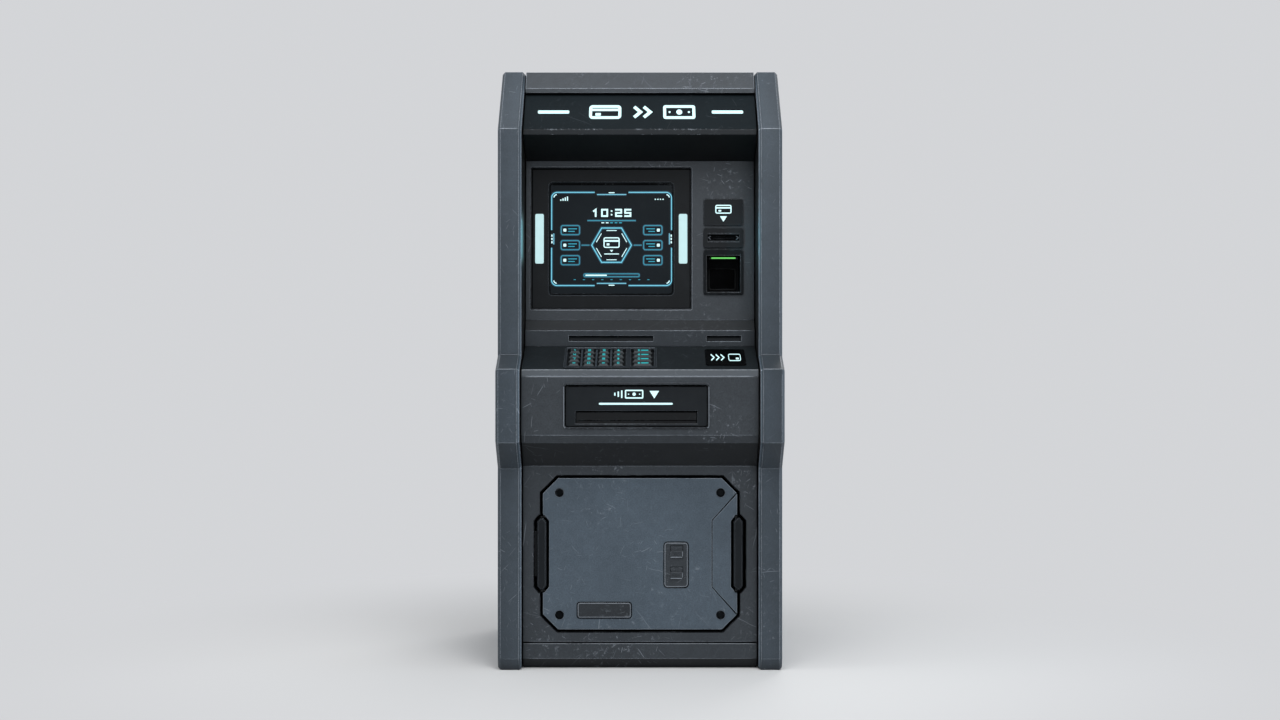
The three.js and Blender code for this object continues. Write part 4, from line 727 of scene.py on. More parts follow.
def coated(name, group, settings, wear, bump, shine, shading, inputs):
    """A material on a surface group; shading may paint shade or light into its colour where the piece asks
    for it.
    """
    tree, shader = new_material(name)
    shared = {"Worn": solid(settings.worn), "Edges": settings.edge_wear * wear, "Corner Shade": settings.corner_shade}
    surface = placed_group(tree, group, **shared, **inputs)
    shade = shading(tree, surface["Color"]) if shading else surface["Color"]
    connect(tree, shader["Base Color"], shade)
    connect(tree, shader["Roughness"], surface["Roughness"])
    add_bump(tree, shader, bump, 0.001, Height=surface["Height"], Normal=surface["Normal"])
    shader["Specular IOR Level"].default_value = shine
    return shader


def painted(name, groups, settings, paint, rough=0.42, shading=None, wear=1.0, underside=0.33, shine=0.25):
    """Worn paint in one colour; underside is what is left of the colour on faces that look down, a painted
    shade.
    """
    inputs = {
        "Paint": solid(paint),
        "Line": settings.edge_highlight * wear,
        "Scratches": settings.scratches * wear,
        "Scuffs": settings.scuffs * wear,
        "Roughness": rough,
        "Underside": underside,
    }
    shader = coated(name, groups["worn paint"], settings, wear, 0.12, shine, shading, inputs)
    shader["Metallic"].default_value = 0.15


def moulded(name, groups, settings, plastic, rough=0.42, wear=1.0, shine=0.15, shading=None):
    inputs = {"Plastic": solid(plastic), "Line": settings.edge_highlight * wear * 0.3, "Roughness": rough}
    coated(name, groups["moulding"], settings, wear, 0.10, shine, shading, inputs)


def brushed(name, steel):
    """Brushed steel: fine lines across the piece in its colour, roughness and bump."""
    tree, shader = new_material(name)
    point = coordinates(tree)
    stretched = add_node(tree, "Mapping", {"Vector": point, "Scale": (60.0, 60.0, 1600.0)}).outputs[0]
    lines = noise(tree, stretched, 1.0, 4.0, 0.6)
    level = calculate(tree, "MULTIPLY_ADD", noise(tree, point, 30.0, 3.0), 0.4, lines)
    tone = step(tree, level, 0.4, 1.0, 0.75, 1.15)
    connect(tree, shader["Base Color"], scaled_colour(tree, solid(steel), tone))
    connect(tree, shader["Roughness"], calculate(tree, "MULTIPLY_ADD", lines, 0.2, 0.32))
    add_bump(tree, shader, 0.15, 0.0005, Height=lines)
    shader["Metallic"].default_value = 0.9


def lit(name, tint, unevenness=0.0):
    """A lit diffuser: it glows in its tint, a little darker in places where it is uneven."""
    tree, shader = new_material(name)
    even = step(tree, noise(tree, coordinates(tree), 45.0, 2.0), 0.3, 0.7, 1.0 - unevenness, 1.0)
    glow = scaled_colour(tree, solid(tint), even)
    connect(tree, shader["Emission Color"], glow)
    connect(tree, shader["Base Color"], mix_colour(tree, 1.0, glow, (0.25, 0.25, 0.25, 1), "MULTIPLY"))
    shader["Emission Strength"].default_value = 1.0
    shader["Roughness"].default_value = 0.35


def screen_glass(name, glow):
    """Dark display glass with a faint grid of dots and a soft glow towards its middle."""
    tree, shader = new_material(name)
    dot_pitch = 4 * MM
    point = coordinates(tree)
    centred = calculate_vector(tree, "SUBTRACT", point, tuple(Face("display_screen").middle))
    away = calculate_vector(tree, "LENGTH", centred)
    part = split(tree, point)
    waves = [
        calculate(tree, "SINE", calculate(tree, "MULTIPLY", part[axis], 2 * math.pi / dot_pitch))
        for axis in ("X", "Z")
    ]
    dots = step(tree, product(tree, *waves), 0.2, 0.9, 0.85, 1.15)
    level = product(tree, step(tree, away, 0.0, 0.24, 1.0, 0.55), dots)
    connect(tree, shader["Emission Color"], scaled_colour(tree, solid(glow), level))
    smears = noise(tree, point, 9.0, 4.0, 0.7)
    connect(tree, shader["Roughness"], step(tree, smears, 0.3, 0.8, 0.16, 0.30))
    shader["Base Color"].default_value = (0.004, 0.006, 0.008, 1)
    shader["Specular IOR Level"].default_value = 0.15
    shader["Emission Strength"].default_value = 1.0


def paper_finish(name, paper):
    tree, shader = new_material(name)
    fibres = noise(tree, coordinates(tree), 700.0, 4.0, 0.7)
    tone = step(tree, fibres, 0.3, 0.7, 0.94, 1.0)
    connect(tree, shader["Base Color"], scaled_colour(tree, solid(paper), tone))
    add_bump(tree, shader, 0.2, 0.0003, Height=fibres)
    shader["Roughness"].default_value = 0.9


def side_panel_shades(tree, shade):
    """Painted light and shade on the side panels: near-black inner skins as painted shade in the gap beside
    the front panels, a painted highlight on the inner chamfers with a band of painted shade beside them, and
    painted shade on the ledges.

    Away is how far a point is from the machine's middle plane. The tone fades towards the outer edges, a
    painted shade.
    """
    low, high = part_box("side_panel_right")
    away = calculate(tree, "ABSOLUTE", coordinate(tree, "Object", "X"))
    # Painted shade: the tone fades towards the outer edges.
    fade = step(tree, away, low.x, high.x, 1.10, 0.88)
    # Painted shade: faces that look up below the shoulder are darkened.
    below_shoulder = step(tree, coordinate(tree, "Object", "Z"), 0.9, 1.0, 1.0, 0.0)
    ledge = product(tree, coordinate(tree, "Normal", "Z"), below_shoulder)
    ledge_shade = step(tree, ledge, 0.6, 0.8, 1.0, 0.6)
    # Painted highlight on the inner chamfer, with a band of painted shade beside it.
    chamfer = step(tree, away, low.x + 3 * MM, low.x + 4 * MM, 1.75, 0.84)
    chamfer = largest(tree, chamfer, step(tree, away, low.x + 9 * MM, low.x + 12 * MM))
    # Painted shade in the gap beside the front panels: the inner skin is painted near black.
    sideways = step(tree, calculate(tree, "ABSOLUTE", coordinate(tree, "Normal", "X")), 0.85, 0.95)
    skin = product(tree, step(tree, away, low.x + 1.2 * MM, low.x + 2.2 * MM, 1.0, 0.0), sideways)
    return mix_colour(
        tree, skin, scaled_colour(tree, shade, product(tree, fade, ledge_shade, chamfer)), (0.004, 0.0045, 0.005, 1)
    )


def shaded_slopes(tree, shade):
    """Painted shade: faces that look up, such as the slope behind the shelf, are darkened to about a third.
    """
    return scaled_colour(tree, shade, step(tree, coordinate(tree, "Normal", "Z"), 0.15, 0.35, 1.0, 0.34))


def shaded_groove_walls(tree, shade):
    """Painted shade: faces that don't look to the front are the walls of grooves and recesses, and are
    painted near black.
    """
    facing = calculate(tree, "ABSOLUTE", coordinate(tree, "Normal", "Y"))
    return mix_colour(tree, step(tree, facing, 0.55, 0.65, 1.0, 0.0), shade, SHADE_BLACK)


def shaded_grooves(node):
    def shading(tree, shade):
        """Painted shade in the grooves of a flat piece: their walls, and their floors behind its face, are
        painted near black.
        """
        front = Face(node, towards=(0, -1, 0)).middle[1]
        behind = step(tree, coordinate(tree, "Object", "Y"), front + 0.3 * MM, front + 0.6 * MM)
        return mix_colour(tree, behind, shaded_groove_walls(tree, shade), SHADE_BLACK)

    return shading


# The two long recesses of the door: how far they are from its middle, and the shape of their pointed ends.
RECESS_PLACE = 259.75 * MM
RECESS_END = 102.45 * MM
RECESS_TIP = 7 * MM
RECESS_HALF = 19.5 * MM
RECESS_SLOPE = 12.5 / 15.1


def door_shades(tree, shade):
    """Painted shade on the door: its grooves are near black, and so is all of it inside the pointed ends of
    the two recesses.
    """
    low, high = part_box("door_handle")
    across = calculate(tree, "ABSOLUTE", coordinate(tree, "Object", "X"))
    across = calculate(tree, "ABSOLUTE", calculate(tree, "SUBTRACT", across, RECESS_PLACE))
    upward = calculate(tree, "SUBTRACT", coordinate(tree, "Object", "Z"), (low.z + high.z) / 2)
    tip = calculate(tree, "SUBTRACT", RECESS_END, calculate(tree, "ABSOLUTE", upward))
    reach = calculate(tree, "MULTIPLY_ADD", tip, RECESS_SLOPE, RECESS_TIP)
    reach = calculate(tree, "MINIMUM", reach, RECESS_HALF)
    beside = step(tree, calculate(tree, "SUBTRACT", reach, across), -0.2 * MM, 0.2 * MM)
    inside = product(tree, beside, step(tree, tip, -0.2 * MM, 0.0))
    return mix_colour(tree, inside, shaded_grooves("service_door")(tree, shade), SHADE_BLACK)


def key_shades(tree, shade):
    """Painted light and shade on a key: its left and right slopes are painted near black, its top is
    darkened, and its steeper faces are lightened, so that its front shows pale.
    """
    facing = calculate(tree, "ABSOLUTE", coordinate(tree, "Normal", "X"))
    shade = mix_colour(tree, step(tree, facing, 0.25, 0.4), shade, SHADE_BLACK)
    return scaled_colour(tree, shade, step(tree, coordinate(tree, "Normal", "Z"), 0.5, 0.85, 1.5, 0.45))


def black_underside(tree, shade):
    """The header is black from its trim strip inwards."""
    trim_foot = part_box("sign_panel")[0].z - 14 * MM
    inward = step(tree, coordinate(tree, "Object", "Z"), trim_foot - 0.5 * MM, trim_foot, 1.0, 0.0)
    return mix_colour(tree, inward, shade, (0.0064, 0.0076, 0.0088, 1))


def pale_nose(paint):
    def shading(tree, shade):
        """The nose of the shelf is paler than its top: partly its own paler paint, partly painted light on
        its up-facing slope. Along its upper edge runs a broken pale line, partly rubbed paint and partly a
        painted highlight.
        """
        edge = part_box("cash_panel")[1].z + 18 * MM
        height = coordinate(tree, "Object", "Z")
        # Painted light: the nose is lightened by the nose paint.
        nose = step(tree, height, edge - 0.4 * MM, edge + 0.4 * MM, 1.0, 0.0)
        shade = mix_colour(tree, nose, shade, mix_colour(tree, 1.0, solid(paint), shade, "ADD"))
        # A broken pale line along the nose's upper edge, partly rubbed paint and partly a painted highlight.
        rubbed = step(tree, noise(tree, coordinates(tree), 70.0, 4.0, 0.7), 0.42, 0.58, 0.15, 0.75)
        line = step(tree, height, edge - 2.2 * MM, edge - 1.2 * MM)
        return mix_colour(tree, product(tree, line, nose, rubbed), shade, (0.24, 0.26, 0.28, 1))

    return shading


def build_materials(paint, light):
    """Makes every finish. In the tables: its colour, how bright it is, and what else sets it apart."""
    groups = {"flat place": flat_place_group(), "scratches": scratch_group(), "edge wear": edge_group()}
    groups["handled places"] = handled_group()
    groups["worn paint"] = paint_group(groups)
    groups["moulding"] = moulding_group(groups)
    paints = {
        "side paint": (
            paint.side,
            1.0,
            dict(rough=0.36, shading=side_panel_shades, underside=0.8, shine=0.38),
        ),
        "door paint": (paint.side, 1.75, dict(shading=door_shades)),
        "front paint": (paint.front, 1.0, {}),
        "ledge paint": (paint.front, 1.0, dict(shading=shaded_slopes, shine=0.12)),
        "frame paint": (paint.front, 1.0, dict(shading=shaded_groove_walls)),
        "plate paint": (paint.front, 0.82, {}),
        "label paint": (paint.front, 0.66, {}),
        "latch paint": (paint.front, 0.9, dict(wear=0.0)),
        "header paint": (paint.header, 1.0, dict(shading=black_underside, wear=0.1)),
        "shelf paint": (paint.shelf, 1.0, dict(shading=pale_nose(paint.nose), shine=0.15)),
        "sign paint": (paint.sign, 1.0, dict(rough=0.5, wear=0.15, shine=0.08)),
        "safe paint": (paint.safe, 1.0, dict(rough=0.5, wear=0.5)),
        "black steel": (paint.plastic, 1.0, dict(wear=0.6)),
        "shutter paint": (paint.plastic, 0.5, dict(wear=0.2)),
        # Highlight metal paints pale strips of highlight along edges, in the worn colour.
        "highlight metal": (paint.worn, 0.75, dict(wear=0.3)),
        "faint metal": (paint.worn, 0.45, dict(wear=0.3)),
        # Dim highlight metal paints weaker strips of highlight.
        "dim highlight metal": (paint.worn, 0.10, dict(wear=0.3)),
    }
    plastics = {
        "black plastic": (paint.plastic, 1.0, {}),
        "bezel plastic": (paint.plastic, 0.72, dict(shading=shaded_groove_walls)),
        "cash plastic": (paint.plastic, 1.15, dict(shading=shaded_grooves("cash_bezel"))),
        "key plastic": (paint.key, 1.0, dict(wear=1.3, shading=key_shades)),
        "pad plastic": (paint.plastic, 1.8, {}),
        "rib plastic": (paint.plastic, 4.0, dict(wear=0.5)),
        "bay plastic": (paint.plastic, 0.65, dict(wear=0.4, shine=0.08)),
        "slot plastic": (paint.plastic, 0.75, dict(wear=0.5)),
        "guide plastic": (paint.plastic, 0.9, dict(wear=0.1, shine=0.05)),
        "gloss black": (paint.plastic, 0.06, dict(rough=0.14, wear=0.05, shine=0.02)),
        "plain black": (paint.plastic, 0.45, dict(wear=0.0)),
        "stud plastic": (paint.plastic, 0.32, dict(rough=0.7, wear=0.0, shine=0.05)),
        # Pit black also paints the shade in gaps, grooves and slots.
        "pit black": (paint.plastic, 0.1, dict(rough=0.6, wear=0.2, shine=0.03)),
    }
    for finish, table in ((painted, paints), (moulded, plastics)):
        for name, (tint, share, options) in table.items():
            finish(name, groups, paint, [part * share for part in tint], **options)
    brushed("steel", paint.steel)
    paper_finish("paper", paint.paper)
    screen_glass("screen glass", light.glass)
    lit("lit bar", [part * 0.72 for part in light.white], 0.04)
    for name in ("white", "pale", "cyan", "dim", "keys", "green"):
        lit(f"lit {name}", getattr(light, name))


# ---------- Finishes of the CAD nodes ----------

NODE_FINISHES = {
    "side paint": ["side_panel_left", "side_panel_right"],
    "door paint": ["service_door"],
    "front paint": ["top_cover", "face_panel", "cash_panel", "kick_plate", "rear_door"],
    "ledge paint": ["ledge_panel"],
    "frame paint": ["lower_frame"],
    "plate paint": ["lock_plate"],
    "label paint": ["label_plate"],
    "latch paint": ["lock_latch_upper", "lock_latch_lower"],
    "header paint": ["header_soffit"],
    "shelf paint": ["keypad_shelf"],
    "sign paint": ["sign_panel"],
    "safe paint": ["safe_body", "computer"],
    "black steel": ["door_liner", "hinge_pin"],
    "shutter paint": ["cash_shutter"],
    "bezel plastic": ["screen_bezel"],
    "cash plastic": ["cash_bezel"],
    "black plastic": [
        "card_sign",
        "receipt_printer",
        "hinge_cover",
        "door_handle",
        "cassette_upper",
        "cassette_lower",
    ],
    "pad plastic": ["keypad_frame"],
    "bay plastic": ["scanner_bay"],
    "slot plastic": ["card_reader"],
    "gloss black": ["contactless_reader"],
    "steel": ["cash_dispenser", "rear_lock"],
    "paper": ["paper_roll"],
    "screen glass": ["display_screen"],
    "lit bar": ["light_bar_left", "light_bar_right"],
}
KEYS = sorted(name for name in NODES if name.startswith("key_") and name[-1].isdigit())
NODE_FINISHES["key plastic"] = KEYS


def finish_nodes():
    for finish, names in NODE_FINISHES.items():
        for name in names:
            NODES[name].data.materials.clear()
            NODES[name].data.materials.append(MATERIALS[finish])


# ---------- Lit marks on the front ----------


def stretch_up(surfaces, face):
    """Stretches flat marks up a sloping face, so that they look upright to a customer in front."""
    return [moved(surface, scale=(1, 1 / abs(face.up[2]), 1)) for surface in surfaces]


def build_sign(light):
    """A dash at each end; between them a card, two arrowheads and a bank note."""
    face = Face("sign_panel")
    height = light.mark_height
    symbol = (86 * MM, 42 * MM)
    symbol_line = 8 * MM
    symbol_place = 99 * MM
    dash_place = 232.5 * MM
    middle = 6 * MM
    drop = -2.5 * MM
    marks = [
        plate(84 * MM, 9.5 * MM, 3 * MM, height, centre=(side * dash_place + 1.4 * MM, drop))
        for side in (-1, 1)
    ]
    marks += card_mark(symbol, symbol_line, height, (middle - symbol_place, drop))
    marks += note_mark(symbol, symbol_line, height, (middle + symbol_place, drop))
    for x in (-13, 13):
        marks.append(chevron((17 * MM, 32 * MM), 9 * MM, height, (middle + x * MM, drop)))
    add_piece("sign_marks", face, stretch_up(marks, face), "lit white")


def build_card_marks(light):
    """A card, and an arrow that points down at the card reader."""
    marks = card_mark((44 * MM, 24 * MM), 3 * MM, light.mark_height, (0, 8 * MM))
    marks.append(arrow_mark((19 * MM, 15 * MM), light.mark_height, (0, -16 * MM)))
    add_piece("card_marks", Face("card_sign"), marks, "lit white")


def build_cash_marks(light):
    """Three bars that grow towards a bank note, an arrow that points down, and a line over the slot."""
    height = light.mark_height
    row = 30.8 * MM
    marks = note_mark((48 * MM, 23 * MM), 3.4 * MM, height, (-5.8 * MM, row))
    for x, tall in ((-38, 20), (-47, 14), (-56, 8)):
        marks.append(plate(3.6 * MM, tall * MM, MM, height, centre=(x * MM, row)))
    marks.append(arrow_mark((25 * MM, 20 * MM), height, (46.7 * MM, row + 2 * MM)))
    marks.append(plate(192 * MM, 5 * MM, 2 * MM, height, centre=(-1.5 * MM, 5.8 * MM)))
    add_piece("cash_marks", Face("cash_bezel"), marks, "lit white")


def build_reader_mark(light):
    """Three arrowheads that lead to a card."""
    face = Face("contactless_reader")
    height = light.mark_height
    drop = -2.2 * MM
    card = corner_outline(31 * MM, 17 * MM, 4 * MM)
    marks = [
        stroke(card, 1.9 * MM, height, closed=True, centre=(24 * MM, drop)),
        plate(8 * MM, 4.5 * MM, MM, height, centre=(31 * MM, drop - 3 * MM)),
    ]
    for x in (-34, -21, -8):
        marks.append(chevron((8 * MM, 15.5 * MM), 2.8 * MM, height, (x * MM, drop)))
    add_piece("reader_mark", face, stretch_up(marks, face), "lit white")


# ---------- Keypad ----------

KEY_ROWS = ["123", "456", "789", " 0 "]
KEY_WIDTH = 32 * MM
KEY_DEPTH = 24 * MM
KEY_SKIRT = 9.2 * MM


def key_cap(width, settings):
    """A key cap: rounded rectangles stacked from the skirt to the top, which is dished in its middle.

    Each level is (share of the slope, height); the outline shrinks by the slope, and over the top its
    points move to the middle while the height sinks by the dish. The height of the top's rim is zero.
    """
    side_slope = (KEY_WIDTH - settings.key_top) / 2
    rings = []
    for share, rise in ((0, 0), (0, 0.32), (0.06, 0.38), (0.94, 0.95), (1.0, 1.0)):
        outline = corner_outline(
            width - 2 * side_slope * share,
            KEY_DEPTH - 2 * settings.key_slope * share,
            (1.2 + share * 0.8) * MM,
        )
        rings.append(np.column_stack([outline, np.full(len(outline), KEY_SKIRT * (rise - 1))]))
    top = rings[-1][:, :2]
    for share in (0.85, 0.6, 0.3, 0.0):
        sunk = -settings.key_dish * (1 - share**2)
        rings.append(np.column_stack([top * share, np.full(len(top), sunk)]))
    base = rings[0] * (0, 0, 1)
    return grid(np.stack([base, *rings]), close_v=True)


def key_marks(name, height):
    """Marks of a key by its place: digits on the narrow keys, a sign and a bar on the wide ones."""
    row, column = name.split("_")[1:]
    line = 1.2 * MM
    if row == "function":
        sign = (-9.4 * MM, 0)
        slants = [
            stroke(np.array([(-12, -rise), (-6.8, rise)]) * MM, line, height) for rise in (2.6, -2.6)
        ]
        signs = {
            "1": slants,
            "2": [arrow_mark((6 * MM, 6 * MM), height, sign, 270)],
            "3": [stroke(circle_outline(2.5 * MM, 20), line, height, closed=True, centre=sign)],
            "4": [plate(6 * MM, 3 * MM, MM, height, centre=sign)],
        }
        return [plate(20 * MM, 2.2 * MM, MM, height, centre=(6 * MM, 0)), *signs[column]]
    if column == "4":
        shapes = {
            "1": arrow_mark((8 * MM, 5 * MM), height, turn=180),
            "2": arrow_mark((8 * MM, 5 * MM), height),
            "3": pad(circle_outline(2.6 * MM, 20), height),
            "4": stroke(circle_outline(2.4 * MM, 20), line, height, closed=True),
        }
        return [shapes[row]]
    text = KEY_ROWS[int(row) - 1][int(column) - 1]
    if text == " ":
        return [plate(8 * MM, 1.8 * MM, 0.8 * MM, height)]
    return digit(text, (7.4 * MM, 5.8 * MM), line, height)


def build_key_ribs():
    """Ribs that stand between the columns of narrow keys, and a pale strip of painted highlight along the
    rear edge of the keypad's frame.
    """
    face = Face("keypad_frame")
    tall = face.size[1] - 5 * MM
    ribs = [
        plate(5 * MM, tall, 1.5 * MM, 7.8 * MM, centre=(x * MM, 0), edge=0.12)
        for x in (-76.2, -37.4, 1.4)
    ]
    add_piece("key_ribs", face, ribs, "rib plastic")
    # Painted highlight: a pale strip along the rear edge of the frame.
    edge = plate(236 * MM, 2.6 * MM, MM, 0.25 * MM, 8.5 * MM, (0, 70 * MM))
    add_piece("keypad_edge", face, [edge], "highlight metal")


def build_keys(light, fittings):
    for name in KEYS:
        low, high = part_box(name)
        face = Face(name)
        cap = key_cap(high.x - low.x, fittings)
        piece = add_piece(f"cap_{name}", face, [cap], "key plastic", name, smooth=True)
        piece.data.set_sharp_from_angle(angle=math.radians(35))
        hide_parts(name)
        marks = stretch_up(key_marks(name, light.mark_height), face)
        marks = [moved(mark, offset=(0, 0, -fittings.key_dish * 0.9)) for mark in marks]
        add_piece(f"mark_{name}", face, marks, "lit keys", name)


# ---------- Display ----------

# What the bezel leaves beside the glass, and above and below it, on both sides together.
GLASS_MARGINS = np.array([96, 78]) * MM


# The middle of the artwork, from the middle of the glass, and how far its hexagon lies below that.
ARTWORK_MIDDLE = np.array([0.8, -0.3]) * MM
HEXAGON_Y = -17


class Artwork:
    """The display's lit shapes in four tints, drawn in millimetres from the middle of the artwork."""

    def __init__(self, height):
        self.height = height
        self.bright, self.pale, self.cyan, self.dim = [], [], [], []

    def at(self, points):
        return np.array(points) * MM + ARTWORK_MIDDLE

    def line(self, path, width, closed=False, core=True):
        """A cyan line over a dim and wider one, with a pale core where it is bright."""
        path = self.at(path)
        half = self.height / 2
        self.dim.append(stroke(path, (width + 4.5) * MM, half, closed=closed))
        self.cyan.append(stroke(path, width * MM, half, base=half, closed=closed))
        if core:
            self.pale.append(stroke(path, 1.3 * MM, half, base=self.height, closed=closed))

    def bright_line(self, path, width):
        self.bright.append(stroke(self.at(path), width * MM, self.height, base=self.height))

    def block(self, centre, size, radius=0.8, tint=None):
        """A small filled rectangle, bright unless it is given another of the tints."""
        outline = corner_outline(*(np.array(size) * MM), radius * MM, 3)
        tint = self.bright if tint is None else tint
        tint.append(pad(outline, self.height, self.height, self.at(centre)))

    def add_marks(self, marks):
        """Lays bright marks over the lines."""
        self.bright += [moved(mark, offset=(0, 0, self.height)) for mark in marks]


def draw_frame(art):
    """A frame with round corners and a gap in each side, bright arcs in its corners and marks in its gaps."""
    half_x, half_y, corner = 163, 127, 15
    for sign_x, sign_y, start in ((-1, -1, 180), (-1, 1, 90), (1, -1, 270), (1, 1, 0)):
        centre = (sign_x * (half_x - corner), sign_y * (half_y - corner))
        bend = arc(corner, start, start + 90, 10, centre)
        side = [(sign_x * half_x, sign_y * 24), (sign_x * half_x, sign_y * (half_y - corner - 1))]
        ends = [(sign_x * (half_x - corner - 1), sign_y * half_y), (sign_x * 46, sign_y * half_y)]
        first, last = (side, ends) if sign_x == sign_y else (ends[::-1], side[::-1])
        art.line([*first, *bend, *last], 3)
        art.bright_line(arc(corner - 6, start + 8, start + 82, 8, centre), 2.6)
    for sign in (-1, 1):
        art.line([(sign * 157, -15), (sign * 157, 15)], 1.6)
        for y in (-9, 0, 9):
            art.block((sign * 162, y), (3.4, 6))
        art.line([(-40, sign * 121), (40, sign * 121)], 2)
        art.block((0, sign * 126), (16, 2.6))


def draw_clock(art):
    """Rising bars at the upper left, dots at the upper right, and a clock over a line and five dashes."""
    for number in range(4):
        art.block((-138 + 6 * number, 106 + 1.3 * number), (3.2, 4 + 2.6 * number))
        art.block((119 + 7 * number, 108), (3.6, 3.6), 1.7)
    for x, text in zip((-44, -19, 19, 44), "1025"):
        art.add_marks(digit(text, (19 * MM, 22 * MM), 4.6 * MM, art.height, art.at((x, 71))))
    for y in (66, 76):
        art.block((0, y), (4.4, 4.4), 1)
    art.line([(-66, 50), (66, 50)], 1.6, core=False)
    for number in range(5):
        art.block((-24 + 12 * number, 44), (8, 2.6), 1, art.bright if number < 2 else art.cyan)


def draw_hexagon(art):
    """A hexagon with a bright line along each side, and in it a card, a bar and an arrow that points down."""
    middle = (0, HEXAGON_Y)
    hexagon = np.array([(math.cos(a), math.sin(a)) for a in np.radians(np.arange(0, 360, 60))])
    art.line(hexagon * 54 + middle, 3.6, closed=True)
    for first, last in zip(hexagon * 46, np.roll(hexagon, -1, axis=0) * 46):
        path = np.array([first * 0.8 + last * 0.2, first * 0.2 + last * 0.8])
        art.bright_line(path + middle, 2)
    art.add_marks(card_mark((44 * MM, 29 * MM), 3 * MM, art.height, art.at((0, HEXAGON_Y + 7))))
    art.block((0, HEXAGON_Y - 24), (40, 2.6))
    art.add_marks([arrow_mark((9 * MM, 6 * MM), art.height, art.at((0, HEXAGON_Y - 15)))])


def draw_tiles(art):
    """Three tiles on either side, each with a dot and two bars; a progress bar and a row of dashes below."""
    for sign in (-1, 1):
        for y in (24, -17, -58):
            art.line(corner_outline(50, 25, 5, 4) + (sign * 112, y), 1.5, closed=True, core=False)
            art.block((sign * 127, y), (8, 8), 1.5)
            art.block((sign * 106, y + 3.5), (24, 2.4), tint=art.cyan)
            art.block((sign * 109, y - 3.5), (18, 2.4), tint=art.cyan)
        art.line([(sign * 60, HEXAGON_Y), (sign * 82, HEXAGON_Y)], 1.4, core=False)
    art.line(corner_outline(150, 8, 3, 4) + (0, -99), 1.4, closed=True, core=False)
    art.block((-42, -99), (58, 3.6), 1)
    for number in range(9):
        art.block((-100 + 25 * number, -111), (6, 1.6), 0.6, art.cyan)


def build_display(light):
    art = Artwork(light.mark_height)
    for draw in (draw_frame, draw_clock, draw_hexagon, draw_tiles):
        draw(art)
    face = Face("display_screen")
    add_piece("display_marks", face, art.bright, "lit white")
    add_piece("display_cores", face, art.pale, "lit pale")
    add_piece("display_lines", face, art.cyan, "lit cyan")
    add_piece("display_glow", face, art.dim, "lit dim")


def build_display_shades():
    """Painted shade round the display: a near-black line round the bezel, a near-black gasket round the glass
    that also paints the shade at its edge, and a painted shadow under its upper edge.
    """
    bezel = Face("screen_bezel")
    # Painted shade: a near-black line round the bezel's edge.
    edge_shade = stroke(corner_outline(*(bezel.size - 3 * MM), 3 * MM), 3 * MM, 0.3 * MM, closed=True)
    add_piece("bezel_shade_line", bezel, [edge_shade], "pit black")
    width, tall = bezel.size - GLASS_MARGINS
    # The gasket round the glass is near black, partly its own colour and partly painted shade at the glass's
    # edge.
    rim = 3.2 * MM
    gasket = stroke(corner_outline(width - rim, tall - rim, 9.4 * MM), rim, 0.4 * MM, closed=True)
    # Painted shadow under the upper edge of the glass.
    shade = plate(width - 18 * MM, 4 * MM, MM, 0.4 * MM, centre=(0, tall / 2 - 4.4 * MM))
    add_piece("display_gasket_and_shade", Face("display_screen"), [gasket, shade], "pit black")


# ---------- Card reader, scanner and cash slot ----------


def build_card_mouth():
    """Arrowheads that point out of the card mouth; its near-black floor and lips, painted shade inside the
    mouth; and a bead above and below, pale as a painted highlight.
    """
    face = Face("card_reader")
    head = np.array([(34.8, 4.6), (40.2, 0), (34.8, -4.6)]) * MM
    arrows = [stroke(head * (side, 1), 1.6 * MM, 1.5 * MM, base=-3 * MM) for side in (-1, 1)]
    add_piece("card_arrows", face, arrows, "faint metal")
    # Painted shade: a near-black floor and lips inside the mouth.
    floor = plate(85 * MM, 16 * MM, MM, 0.5 * MM, base=-8.8 * MM, edge=1)
    rim = corner_outline(60 * MM, 6 * MM, 2 * MM)
    lips = stroke(rim, 1.6 * MM, 1.5 * MM, base=-8.5 * MM, closed=True)
    add_piece("card_slot", face, [floor, lips], "pit black")
    # Painted highlight: pale beads above and below the mouth.
    beads = [plate(88 * MM, 1.8 * MM, 0.8 * MM, 0.4 * MM, centre=(0, y * MM)) for y in (-11.5, 11.5)]
    add_piece("card_beads", face, beads, "dim highlight metal")


def build_scanner():
    """The scanner's lamp in a holder under the bay's roof, a framed window, and a bead round the mouth, pale
    as a painted highlight.
    """
    back = Face("scanner_bay")
    front = Face("scanner_bay", foremost=True)
    width, tall = back.size
    depth = (front.middle - back.middle) @ back.out
    roof = (0, tall / 2 - 5.6 * MM)
    sunk = (0, -8 * MM)
    lamp = plate(66 * MM, 3.6 * MM, 1.4 * MM, 2.5 * MM, depth - 9 * MM, roof)
    add_piece("scanner_lamp", back, [lamp], "lit green")
    holder = plate(80 * MM, 7 * MM, MM, 16 * MM, depth - 25.5 * MM, roof, edge=0.1)
    outline = corner_outline(72 * MM, 58 * MM, 5 * MM)
    ring = stroke(outline, 4 * MM, 3 * MM, base=0.2 * MM, closed=True, centre=sunk)
    add_piece("scanner_frame", back, [holder, ring], "plain black")
    window = plate(66 * MM, 52 * MM, 4 * MM, 1.5 * MM, 0.2 * MM, sunk)
    add_piece("scanner_window", back, [window], "gloss black")
    # Painted highlight: a pale bead round the mouth of the bay.
    mouth = corner_outline(width + 2.6 * MM, tall + 2.6 * MM, 1.5 * MM, 3)
    bead = stroke(mouth, 1.6 * MM, 0.4 * MM, closed=True, centre=front.local(back.middle))
    add_piece("scanner_bead", front, [bead], "dim highlight metal")


